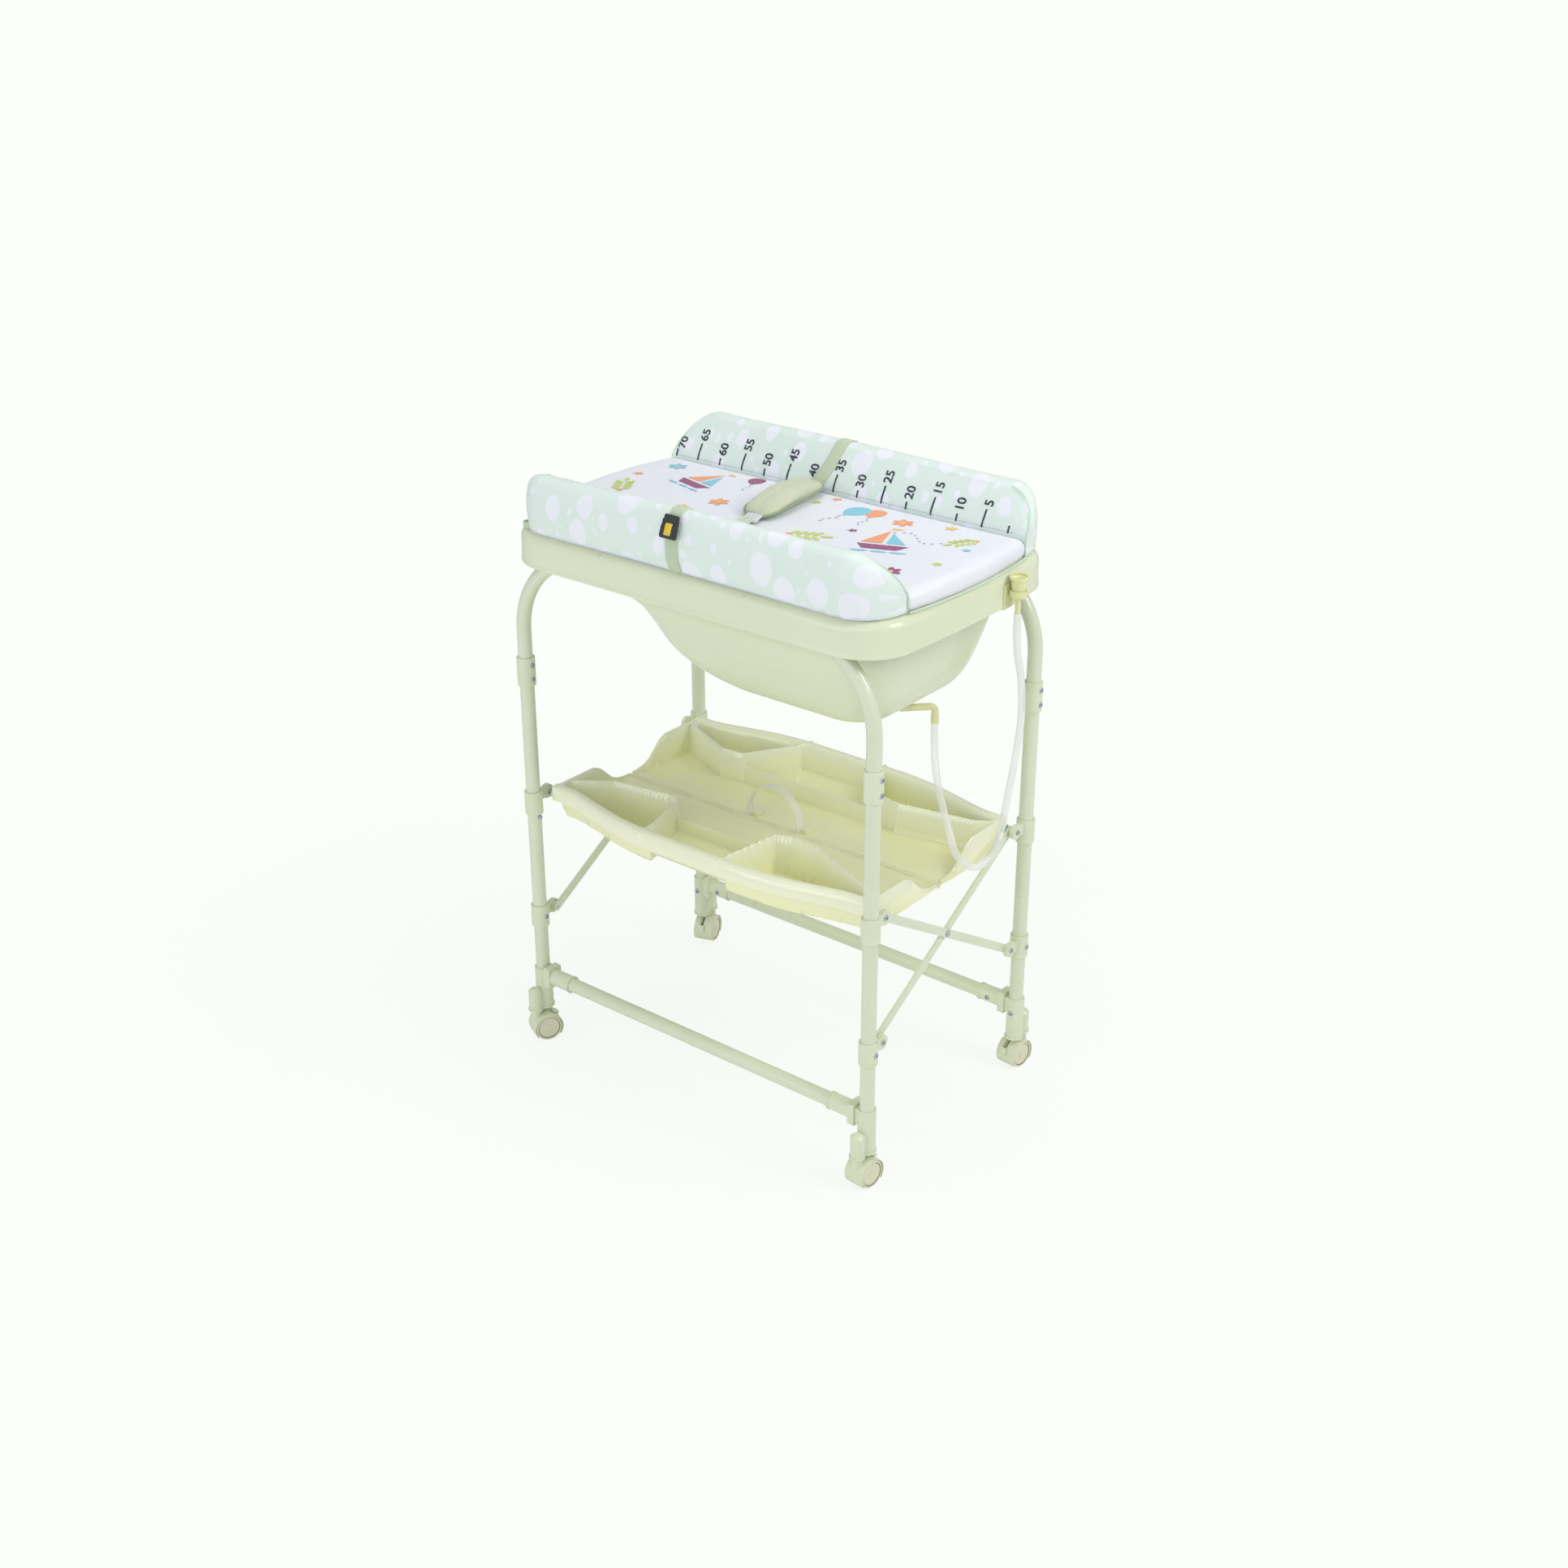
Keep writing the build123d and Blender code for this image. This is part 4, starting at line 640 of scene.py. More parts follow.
def dress_tub():
    tub = new_object("tub_moulding", make_tub(), "tub", "tub")
    sharpen(tub, 38)
    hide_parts("tub_shell")
    feet = bmesh.new()
    for foot_x, foot_y in tub_foot_places + tuple((x, -y) for x, y in tub_foot_places):
        rings = []
        for reach, rise in foot_shares:
            z = basin_floor_z - tub_foot_height * (1 - rise)
            outline = circle(reach * tub_foot_d / 2, foot_steps)
            rings.append(add_ring(feet, [(foot_x + x, foot_y + y, z) for x, y in outline]))
        join_rings(feet, rings)
        cap(feet, rings[0])
    for rib_x in rib_places:
        for middle in (-rib_y, rib_y):
            add_box(feet, (rib_x, middle - rib_half_width, rib_low_z),
                    (rib_x + rib_thick, middle + rib_half_width, rib_high_z))
    new_object("tub_feet", feet, "tub", "tub")


dress_tub()


# Tray halves: thin open mouldings with bins, a shelf and an open floor that meets at the hinge
tray_half_length = 345.0
tray_rim_z = 505.0
tray_skirt_z = 478.0
tray_pivot_y = 190.0
tray_edge_y = 239.0
tray_wall = 2.5
thinnest = 1.2
bead_width = 21.0
bead_drop = 5.0
bead_run = 10.0
wall_draft = 8.0
rib_half = 2.2
end_rib_half = 3.0
divider_half = 1.6
crest_drop = 1.2
bin_skirt = 7.0
seam_gap = 5.6
seam_z = 455.0
seam_run = 40.0
open_floor_z = 452.0
bin_floor_z = 441.0
shelf_floor_z = 458.0
divider_z = 481.0
divider_y_share = 0.62
hinge_z = 452.0
knuckle_r = 4.5
knuckle_count = 14
knuckle_turns = 20
knuckle_gap = 0.2
web_overlap = 0.5
bracket_places = (-61.0, 51.0)
bracket_half = 11.0
bracket_y = (7.0, 29.0)
bracket_sink = 1.0
bracket_rise = 6.0
fine_step = 2.3
# Slope changes of the front edge: where, over what length, and by how much
edge_bends = ((150.07, 62.0, -0.2532), (300.15, 22.4, 0.2532))
# Bins' outlines and the shelf's ends, as shares of the half length and of the pivot's distance.
# The rim closes the bins.
tray_plan_shares = {
    "front": ([[(-0.97, -1.5), (-0.97, -0.86), (-0.79, -0.62), (-0.46, -0.52), (-0.40, -0.56), (-0.32, -1.06),
                (-0.30, -1.5)],
               [(0.18, -1.5), (0.20, -1.10), (0.24, -0.55), (0.32, -0.50), (0.50, -0.52), (0.87, -0.82),
                (0.97, -0.93), (0.97, -1.5)]], (-0.38, 0.23)),
    "back": ([[(-0.97, -1.5), (-0.96, -0.86), (-0.62, -0.60), (-0.50, -0.62), (-0.34, -1.08), (-0.28, -1.5)],
              [(0.16, -1.5), (0.20, -1.10), (0.34, -0.72), (0.50, -0.66), (0.90, -0.80), (0.97, -0.88),
               (0.97, -1.5)]], (-0.48, 0.32)),
}
# Height of the tray's end wall over the distance from the hinge
end_wall = ((0, 459), (18, 459), (36, 462), (50, 468), (64, 481), (80, 496), (97, 504), (300, 504))


def tray_edge(x):
    """Distance of the tray's outer edge from the hinge line."""
    reach = tray_edge_y
    for place_x, length, change in edge_bends:
        past = abs(x) - place_x
        if past >= length:
            reach += change * past
        elif past > -length:
            reach += change * (past + length) ** 2 / (4 * length)
    return reach


def level(table, value):
    """Height of a table of points at a value, straight between them."""
    for (low, low_z), (high, high_z) in zip(table, table[1:]):
        if value <= high:
            return low_z + (high_z - low_z) * (value - low) / (high - low)
    return table[-1][1]


def outside(outline, x, y):
    """Distance from a closed outline, negative inside it."""
    nearest, within = 1e9, False
    for (ax, ay), (bx, by) in zip(outline, outline[1:] + outline[:1]):
        along_x, along_y = bx - ax, by - ay
        share = ((x - ax) * along_x + (y - ay) * along_y) / (along_x ** 2 + along_y ** 2)
        share = min(1.0, max(0.0, share))
        nearest = min(nearest, hypot(x - ax - share * along_x, y - ay - share * along_y))
        if (ay > y) != (by > y) and x < ax + (y - ay) * along_x / along_y:
            within = not within
    return -nearest if within else nearest


def rib(distance, half, top):
    """Height of a wall with a rounded crest and drafted sides at a distance from its middle."""
    past = abs(distance) - half
    if past <= 0:
        return top - crest_drop * (distance / half) ** 2
    return top - crest_drop - past * wall_draft


def tray_heights(bins, shelf_ends, x, reach):
    """Upper and lower surface of a half at a place."""
    past_divider = reach - divider_y_share * tray_pivot_y
    floor = seam_z + (open_floor_z - seam_z) * min(1.0, reach / seam_run)
    beside_shelf = shelf_ends[0] < x < shelf_ends[1]
    if beside_shelf and past_divider > 0:
        floor = shelf_floor_z
    top, under = floor, floor - tray_wall
    if beside_shelf:
        top = max(top, rib(past_divider, divider_half, divider_z))
    for outline in bins:
        gap = outside(outline, x, -reach)
        past_wall = gap - 2 * rib_half
        if gap < 0:
            top = bin_floor_z
        top = max(top, rib(gap - rib_half, rib_half, tray_rim_z))
        if past_wall < bin_skirt:
            under = min(under, max(bin_floor_z, bin_floor_z + past_wall * wall_draft) - tray_wall)
    from_end = tray_half_length - abs(x)
    top = max(top, rib(from_end - end_rib_half, end_rib_half, level(end_wall, reach)))
    past_bead = tray_edge(x) - reach - bead_width
    if past_bead < bead_run:
        bead_half = bead_width / 2
        round_off = bead_drop * min(1.0, abs((past_bead + bead_half) / bead_half)) ** 3
        top = max(top, tray_rim_z - round_off - max(0.0, past_bead) * wall_draft)
        under = max(under, tray_skirt_z - max(0.0, past_bead) * wall_draft)
    return top, min(under, top - thinnest)


def add_knuckles(mesh, side):
    """Every second knuckle of the hinge, with the web that carries it."""
    length = 2 * tray_half_length / knuckle_count
    web_y = sorted((0.0, side * (seam_gap + web_overlap)))
    for index in range(0 if side < 0 else 1, knuckle_count, 2):
        low_x = -tray_half_length + index * length + knuckle_gap
        high_x = low_x + length - 2 * knuckle_gap
        ends = [[(x, y, hinge_z + z) for y, z in circle(knuckle_r, knuckle_turns)] for x in (low_x, high_x)]
        loft(mesh, [add_ring(mesh, end) for end in ends])
        add_box(mesh, (low_x, web_y[0], seam_z - tray_wall), (high_x, web_y[1], seam_z))


def make_tray_half(side, name):
    outlines, shelf_shares = tray_plan_shares[name]
    bins = [[(x * tray_half_length, y * tray_pivot_y) for x, y in outline] for outline in outlines]
    shelf_ends = [share * tray_half_length for share in shelf_shares]
    step = fine_step
    across = int(2 * tray_half_length / step)
    deep = int((tray_edge_y - seam_gap) / step)
    mesh = bmesh.new()
    upper, lower = [], []
    for i in range(across + 1):
        x = -tray_half_length + 2 * tray_half_length * i / across
        reaches = [seam_gap + (tray_edge(x) - seam_gap) * j / deep for j in range(deep + 1)]
        tops, unders = zip(*(tray_heights(bins, shelf_ends, x, reach) for reach in reaches))
        for rows, heights in ((upper, tops), (lower, unders)):
            rows.append(add_ring(mesh, [(x, side * reach, z) for reach, z in zip(reaches, heights)]))
    add_sheet(mesh, upper)
    add_sheet(mesh, lower)
    join_rings(mesh, [border(lower), border(upper)])
    add_knuckles(mesh, side)
    if side > 0:
        for middle in bracket_places:
            add_box(mesh, (middle - bracket_half, bracket_y[0], seam_z - bracket_sink),
                    (middle + bracket_half, bracket_y[1], seam_z + bracket_rise))
    half = new_object("tray_" + name + "_moulding", mesh, "tray", "tray_" + name)
    sharpen(half, 70)
    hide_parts("tray_" + name + "_half")


make_tray_half(-1, "front")
make_tray_half(1, "back")

# Painted shade: a dark ring round each wheel's flat disc stands in for the shade in the gap that the
# photograph shows there
disc_face = 17.6
disc_r = 20.6
shade_ring_r = 0.8
shade_ring_depth = 0.35
ring_steps = 64
tube_steps = 12


def make_painted_disc_shade(corner):
    joint = next(item for item in frame["joints"] if item["name"] == corner + "_roll")
    centre, axle = Vector(joint["pos_m"]), Vector(joint["axis"]).normalized()
    turn = axle.to_track_quat("Z", "Y").to_matrix().to_4x4()
    rings = bmesh.new()
    for face in (-1, 1):
        spot = Matrix.Translation(centre / MM + axle * face * disc_face) @ turn
        made = []
        for out, rise in circle(1.0, tube_steps):
            around = circle(disc_r + shade_ring_r * out, ring_steps)
            made.append(add_ring(rings, [spot @ Vector((x, y, shade_ring_depth * rise)) for x, y in around]))
        join_rings(rings, made + [made[0]])
    # Painted shade ring, in the dark look
    new_object(corner + "_painted_disc_shade", rings, "gap", corner + "_caster_wheels_body")


for corner in ("front_left", "front_right", "back_left", "back_right"):
    make_painted_disc_shade(corner)

# Air in the covers
cloth_frames = 20


def settle(obj):
    """Make the modified mesh the object's own and drop its modifiers."""
    graph = bpy.context.evaluated_depsgraph_get()
    made = bpy.data.meshes.new_from_object(obj.evaluated_get(graph))
    obj.modifiers.clear()
    obj.data = made
    shade_smooth(made)


def puff(obj, voxel, pressure, most):
    """Let air pressure round a cover out by cloth simulation, no point further than most millimetres."""
    if voxel:
        even = obj.modifiers.new("even", "REMESH")
        even.mode = "VOXEL"
        even.voxel_size = voxel * MM
        settle(obj)
    still = [vert.co.copy() for vert in obj.data.vertices]
    cloth = obj.modifiers.new("air", "CLOTH")
    cloth.settings.quality = 5
    cloth.settings.mass = 0.3
    cloth.settings.tension_stiffness = 20
    cloth.settings.compression_stiffness = 20
    cloth.settings.bending_stiffness = 1.0
    cloth.settings.use_pressure = True
    cloth.settings.uniform_pressure_force = pressure
    cloth.settings.effector_weights.gravity = 0
    cloth.point_cache.frame_start = 1
    cloth.point_cache.frame_end = cloth_frames
    for frame_number in range(1, cloth_frames + 1):
        bpy.context.scene.frame_set(frame_number)
    settle(obj)
    bpy.context.scene.frame_set(1)
    for vert, start in zip(obj.data.vertices, still):
        shift = vert.co - start
        if shift.length > most * MM:
            vert.co = start + shift.normalized() * most * MM


# Mat: bolsters with a rounded ridge, and a crowned pad between them
bolster_steps = 90
corner_turns = 16
arc_steps = 14
base_steps = 6
soft_height = 1.1
soft_runs = (90.0, 60.0, 40.0)
fold_runs = (25.0, 30.0)
fold_wander = 2.2
outer_part = 45.0
still_part = 6.0
sag_depth = 1.5
sag_run = 340.0


def arc_points(start, middle, end):
    """Points on the circle through three points of a section."""
    (ax, ay), (bx, by), (cx, cy) = start, middle, end
    a, b, c = (x ** 2 + y ** 2 for x, y in (start, middle, end))
    double = 2 * (ax * (by - cy) + bx * (cy - ay) + cx * (ay - by))
    ux = (a * (by - cy) + b * (cy - ay) + c * (ay - by)) / double
    uy = (a * (cx - bx) + b * (ax - cx) + c * (bx - ax)) / double
    radius = hypot(ax - ux, ay - uy)
    first = atan2(ay - uy, ax - ux)
    through = (atan2(by - uy, bx - ux) - first) % (2 * pi)
    sweep = (atan2(cy - uy, cx - ux) - first) % (2 * pi)
    if through > sweep:
        sweep -= 2 * pi
    turns = [first + sweep * step / arc_steps for step in range(arc_steps)]
    return [(ux + radius * cos(turn), uy + radius * sin(turn)) for turn in turns]


def bolster_section(top_z):
    """Closed section as y outward and z, from the outer base over the ridge to the crease and back."""
    shoulder_z = top_z - ridge_width / 3
    shoulder = (ridge_y + ridge_width / 2, shoulder_z)
    brow = (ridge_y - ridge_width / 2, shoulder_z)
    hem = (mat_half_width - hem_in, mat_low_z + hem_height)
    slope = ((brow[0] + crease_y) / 2, (shoulder_z + pad_top_z) / 2 + slope_bulge)
    points = arc_points(hem, (mat_half_width + cover_bulge, (mat_low_z + top_z) / 2), shoulder)
    points += arc_points(shoulder, (ridge_y + ridge_width / 8, top_z), brow)
    points += arc_points(brow, slope, (crease_y + cover_bulge, pad_top_z))
    seam_y = crease_y + seam_inset
    points += [(seam_y, pad_top_z - 2 * hem_height), (seam_y, mat_low_z + hem_height)]
    points += [(crease_y + hem_in, mat_low_z + seam_inset)]
    base = mat_half_width - hem_height - hem_in - crease_y
    return points + [(crease_y + base * step / base_steps, mat_low_z) for step in range(1, base_steps + 1)]


def bolster_stations():
    """Places along a bolster and how much of its section is left there, as its corners are round in plan."""
    turns = [radians(2 + 88 * turn / corner_turns) for turn in range(corner_turns)]
    low, high = mat_left_x + mat_corner, mat_right_x - mat_corner
    stations = [(mat_left_x + mat_corner * (1 - cos(turn)), sin(turn)) for turn in turns]
    stations += [(low + (high - low) * step / bolster_steps, 1.0) for step in range(bolster_steps + 1)]
    return stations + [(mat_right_x - mat_corner * (1 - cos(turn)), sin(turn)) for turn in reversed(turns)]


def make_bolster(side, ridge_z, drop, slope, wave):
    """The ridge is lower by a drop, a slope and a wave along the length, as the cover has slackened there."""
    mesh = bmesh.new()
    wrap = mesh.loops.layers.uv.new("wrap")
    rings, place_of = [], {}
    for x, share in bolster_stations():
        section = bolster_section(ridge_z - (drop + slope * x / sag_run - sag_depth * cos(x / wave)))
        ring = add_ring(mesh, [(x, side * (crease_y + (y - crease_y) * share),
                                min(z, pad_top_z) + max(0.0, z - pad_top_z) * share) for y, z in section])
        length = 0.0
        for vert, here, before in zip(ring, section, section[:1] + section):
            length += hypot(here[0] - before[0], here[1] - before[1])
            place_of[vert] = (x * MM, length * MM)
        rings.append(ring)
    join_rings(mesh, rings)
    for face in mesh.faces:
        spots = [place_of[loop.vert] for loop in face.loops]
        widest = max(across for _, across in spots)
        for loop, (along, across) in zip(face.loops, spots):
            loop[wrap].uv = (along, widest if widest - across > 0.1 else across)
    mesh.faces.new(rings[0])
    mesh.faces.new(rings[-1])
    return mesh


def crumple(obj, reach, x_range, z_range, wave):
    """Small folds along the lower edge within a stretch, and the cover's soft unevenness everywhere."""
    (low_x, high_x), (low_z, high_z) = x_range, z_range
    for vert in obj.data.vertices:
        x, y, z = vert.co / MM
        soft = noise.noise(Vector((x / soft_runs[0], y / soft_runs[1], z / soft_runs[2]))) * soft_height
        across = max(0.0, 1 - abs((x - (low_x + high_x) / 2) / ((high_x - low_x) / 2)))
        up = max(0.0, 1 - (z - low_z) / (high_z - low_z)) if z > low_z else 0.0
        wander = fold_wander * noise.noise(Vector((x / fold_runs[0], z / fold_runs[1], 3.0)))
        fold = sin(x / wave + wander) * reach
        outward = 1 if y > 0 else -1
        if abs(y) > crease_y + outer_part:
            vert.co.y += outward * (soft + fold * sqrt(across) * up) * MM
        elif z > pad_top_z + still_part:
            vert.co.z += soft * MM


def make_bolster_cover(name, shape, folds):
    cover = new_object(name + "_bolster_cover", shape, "bolster", "mat")
    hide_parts(name + "_bolster")
    puff(cover, voxel=0, pressure=2.0, most=2.0)
    crumple(cover, **folds)
    sharpen(cover, 60)
    refine(cover)
    return cover


front_folds = dict(reach=3.2, x_range=(205, 372), z_range=(988, 1022), wave=4.6)
back_folds = dict(reach=0.8, x_range=(-372, 372), z_range=(988, 1004), wave=17.0)
front_bolster = make_bolster_cover("front", make_bolster(-1, front_ridge_z, 1.0, -1.5, 120.0), front_folds)
back_bolster = make_bolster_cover("back", make_bolster(1, back_ridge_z, 0.0, 3.0, 130.0), back_folds)

# Pad: a crowned top and a bottom sheet joined by a bulging wall
pad_steps_x = 72
pad_steps_y = 36
pad_inset = 0.6
pad_soft = 1.2
pad_soft_runs = (120.0, 90.0)
pad_bottom_share = 0.992
crowding_share = 0.35
end_fall, end_fall_run = 4.0, 12.0
crease_fall, crease_fall_run = 3.0, 10.0
# Height share of the pad's end wall and how far it bulges there
wall_bulges = ((0.12, 2.5), (0.4, 4.5), (0.7, 3.5), (0.9, 1.5))


def pad_place(u, v):
    """Plan point of the pad for two shares from -1 to 1."""
    bow = mat_bow * (1 - v ** 2)
    low, high = mat_left_x - bow, mat_right_x + bow
    return low + (high - low) * (u + 1) / 2, v * (crease_y - pad_inset)


def edge_drop(u, v):
    """How far the cover falls towards the edges of the pad."""
    at_end = max(0.0, 1 - (1 - abs(u)) * mat_right_x / end_fall_run)
    at_crease = max(0.0, 1 - (1 - abs(v)) * crease_y / crease_fall_run)
    return at_end ** 2 * end_fall + at_crease ** 2 * crease_fall


def closer(share):
    """Share from -1 to 1, moved so that steps get shorter towards both ends."""
    return sin(share * pi / 2) * crowding_share + share * (1 - crowding_share)


def make_pad():
    mesh = bmesh.new()
    top, bottom = [], []
    for i in range(pad_steps_x + 1):
        top_row, bottom_row = [], []
        for j in range(pad_steps_y + 1):
            u, v = closer(2 * i / pad_steps_x - 1), closer(2 * j / pad_steps_y - 1)
            x, y = pad_place(u, v)
            soft = noise.noise(Vector((x / pad_soft_runs[0], y / pad_soft_runs[1], 5.0))) * pad_soft
            z = pad_top_z + pad_crown * (1 - v ** 2) - edge_drop(u, v) + soft * (1 - abs(v) ** 6)
            top_row.append(mesh.verts.new((x, y, z)))
            bottom_row.append(mesh.verts.new((x * pad_bottom_share, y, mat_low_z)))
        top.append(top_row)
        bottom.append(bottom_row)
    add_sheet(mesh, top)
    add_sheet(mesh, bottom)
    end_ways = dict.fromkeys(bottom[0], -1) | dict.fromkeys(bottom[-1], 1)
    rings = [border(bottom)]
    for share, out in wall_bulges:
        ring = []
        for low, high in zip(border(bottom), border(top)):
            point = low.co.lerp(high.co, share)
            point.x += out * end_ways.get(low, 0)
            ring.append(mesh.verts.new(point))
        rings.append(ring)
    join_rings(mesh, rings + [border(top)])
    return mesh


pad = new_object("mat_pad_cover", make_pad(), "pad", "mat")
puff(pad, voxel=5.0, pressure=3.0, most=1.5)
refine(pad)
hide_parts("mat_pad")


# What lies on a surface is cast onto it
cast_run = 120.0


def surface_of(obj):
    """Tree of the object's shown surface, in metres."""
    shown = obj.evaluated_get(bpy.context.evaluated_depsgraph_get())
    data = shown.to_mesh()
    verts = [obj.matrix_world @ vert.co for vert in data.vertices]
    faces = [list(face.vertices) for face in data.polygons]
    shown.to_mesh_clear()
    return BVHTree.FromPolygons(verts, faces)


def cast(tree, point, direction, lift):
    """Point in millimetres moved along the direction onto the surface, and lifted off it."""
    way = Vector(direction).normalized()
    hit = tree.ray_cast((Vector(point) - way * cast_run) * MM, way)[0]
    return None if hit is None else hit / MM - way * lift


def stick(mesh, tree, direction, lift):
    """Cast every vertex of a mesh onto the surface, and drop what misses it."""
    missed = []
    for vert in mesh.verts:
        found = cast(tree, vert.co, direction, lift)
        if found is None:
            missed.append(vert)
        else:
            vert.co = found
    bmesh.ops.delete(mesh, geom=missed, context="VERTS")


back_tree = surface_of(back_bolster)
front_tree = surface_of(front_bolster)
pad_tree = surface_of(pad)
print_lift = 0.45
layer_lift = 0.05
# Ways up the back slope and into it
slope_up = Vector((0, 0.57, 0.82)).normalized()
slope_in = Vector((0, 0.82, -0.57))

# Ruler on the back slope: a mark every five centimetres
mark_step = 50.0
first_mark_x = 343.0
mark_count = 15
mark_start = 2.0
long_mark = 30.0
short_mark = 12.0
mark_width = 3.4
mark_steps = 6
longest_edge = 4.0
mark_gap = 5.0
digit_size = 23.0
digit_weight = 0.55
digit_middle_share = 0.34
last_number_shift = 7.0


def slope_point(x, up, side=1):
    """Point near a bolster's inner slope, a distance up from the crease."""
    return Vector((x, side * (crease_y + 1 + slope_up.y * up), pad_top_z + slope_up.z * up))


def add_mark(mesh, x, start, end):
    across = Vector((mark_width / 2, 0, 0))
    shares = [step / mark_steps for step in range(mark_steps + 1)]
    middles = [slope_point(x, start).lerp(slope_point(x, end), share) for share in shares]
    add_sheet(mesh, [add_ring(mesh, (middle - across, middle + across)) for middle in middles])


def add_number(mesh, text, middle_x, start):
    """Digits that read up the slope."""
    data = bpy.data.curves.new("digits", "FONT")
    data.body = text
    data.size = digit_size
    data.offset = digit_weight
    data.resolution_u = 4
    lettering = bmesh.new()
    lettering.from_mesh(mesh_of(link(bpy.data.objects.new("digits", data))))
    bmesh.ops.triangulate(lettering, faces=lettering.faces)
    for vert in lettering.verts:
        along, rise, _ = vert.co
        vert.co = slope_point(middle_x - rise + digit_size * digit_middle_share, start + along)
    pour(lettering, mesh)


def make_ruler():
    mesh = bmesh.new()
    for mark in range(mark_count):
        x = first_mark_x - mark * mark_step
        end = mark_start + (long_mark if mark % 2 else short_mark)
        add_mark(mesh, x, mark_start, end)
        inward = last_number_shift if mark == mark_count - 1 else 0
        if mark:
            add_number(mesh, str(5 * mark), x + inward, end + mark_gap - inward / 2)
    long_edges = [edge for edge in mesh.edges if edge.calc_length() > longest_edge]
    bmesh.ops.subdivide_edges(mesh, edges=long_edges, cuts=2, use_grid_fill=True)
    stick(mesh, back_tree, slope_in, print_lift)
    new_object("ruler_print", mesh, "ruler", "mat")


make_ruler()

# Print on the pad: boats, balloons, sprigs, flowers and stars, each shape among those of its colour
prints = {}


def turned(points, centre, angle, size=1.0):
    c, s = cos(radians(angle)) * size, sin(radians(angle)) * size
    return [(centre[0] + x * c - y * s, centre[1] + x * s + y * c) for x, y in points]


def moved(points, x, y):
    return [(px + x, py + y) for px, py in points]


def oval(half_x, half_y, count=28, egg=0.0):
    return [(half_x * x * (1 + egg * y), half_y * y) for x, y in circle(1.0, count)]


def star(outer, inner, count=5):
    reaches = [outer, inner] * count
    return [(reach * cos(pi * step / count + pi / 2), reach * sin(pi * step / count + pi / 2))
            for step, reach in enumerate(reaches)]


def stamp(shade, points, centre, angle=0.0, size=1.0):
    mesh = prints.setdefault(shade, bmesh.new())
    mesh.faces.new(add_ring(mesh, [(x, y, pad_top_z) for x, y in turned(points, centre, angle, size)]))


def boat(*spot):
    stamp("purple", [(-24, 0), (-17, -12), (15, -12), (24, 0)], *spot)
    stamp("orange", [(-2, 4), (-2, 40), (-22, 4)], *spot)
    stamp("blue", [(2, 4), (20, 4), (2, 33)], *spot)
    stamp("yellow", [(-2, 43), (-2, 49), (9, 46)], *spot)
    for step in range(3):
        stamp("blue", moved(oval(8, 1.8), -18 + 18 * step, -18), *spot)


def balloon(shade, *spot):
    stamp(shade, moved(oval(12, 15, egg=0.12), 0, 22), *spot)
    stamp(shade, [(-3, 4), (0, 8), (3, 4)], *spot)
    for step in range(5):
        stamp("grey", moved(oval(0.9, 2.3, 10), 2.5 * sin(step * 1.6), -1 - 6 * step), *spot)


def sprig(*spot):
    for step in range(4):
        for side in (-1, 1):
            stamp("lime", turned(oval(7.5, 3.0, 18), (side * 7, 8 + 9 * step), side * 38), *spot)
    stamp("lime", moved(oval(3.2, 7.5, 18), 0, 46), *spot)
    stamp("orange", moved(oval(4.2, 4.2, 18), 0, 2), *spot)


def bloom(shade, heart, centre, size):
    for turn in range(0, 360, 60):
        petal = turned(oval(5.2, 3.4, 16), (7.2 * cos(radians(turn)), 7.2 * sin(radians(turn))), turn)
        stamp(shade, petal, centre, 0, size)
    stamp(heart, oval(3.0, 3.0, 16), centre, 0, size)


def make_prints():
    boat((226, -14), 22, 1.75)
    boat((-216, 54), -14, 1.6)
    balloon("blue", (84, 62), -12, 1.7)
    balloon("orange", (128, 78), 10, 1.4)
    balloon("purple", (-136, 100), 15, 1.25)
    sprig((74, -66), -66, 1.45)
    sprig((-290, -60), 30, 1.3)
    sprig((330, 96), 152, 1.15)
    bloom("orange", "yellow", (186, 96), 1.5)
    bloom("blue", "purple", (146, -112), 1.6)
    bloom("orange", "lime", (-116, -6), 1.5)
    bloom("purple", "yellow", (306, -104), 1.4)
    bloom("blue", "yellow", (-306, 108), 1.4)
    for shade, x, y, size in (("yellow", 262, 122, 13), ("orange", 26, 132, 11), ("lime", 10, 96, 10),
                              ("blue", -76, 112, 11), ("yellow", -150, -60, 13), ("lime", 344, -36, 10),
                              ("purple", 146, 14, 10), ("orange", -328, 30, 11), ("blue", 344, 44, 9)):
        stamp(shade, star(size, size * 0.45), (x, y), 12 * size)
    for step in range(9):
        stamp("grey", oval(2.2, 2.2, 10), (206 + 11 * step, 46 + 14 * sin(step * 0.8)))
        stamp("grey", oval(2.2, 2.2, 10), (-220 + 11 * step, -92 + 11 * sin(step * 0.9)))
    for layer, (shade, mesh) in enumerate(prints.items()):
        stick(mesh, pad_tree, (0, 0, -1), print_lift + layer_lift * layer)
        new_object("pad_print_" + shade, mesh, shade, "mat")


make_prints()

# Piping and seams: thin tubes along the covers' edges
piping_steps = 40
piping_r = 1.5
edge_piping_r = 1.4
seam_r = 1.0
seam_lift = 0.3
seam_drops = (4.0, 12.0, 20.0, 27.0)
piping_rise = 1.6
piping_out = 2.2
edge_piping_rise = 4.0
edge_half_length = 366.0
cast_from_y = 262.0


def make_tube(name, points, radius, look, closed=False):
    holder, spline = make_line(name + "_line", "POLY", points, radius, 2)
    spline.use_cyclic_u = closed
    made = bmesh.new()
    made.from_mesh(mesh_of(holder))
    bmesh.ops.scale(made, vec=(1 / MM, 1 / MM, 1 / MM), verts=made.verts)
    bmesh.ops.remove_doubles(made, verts=made.verts, dist=0.001)
    new_object(name, made, look, "mat")


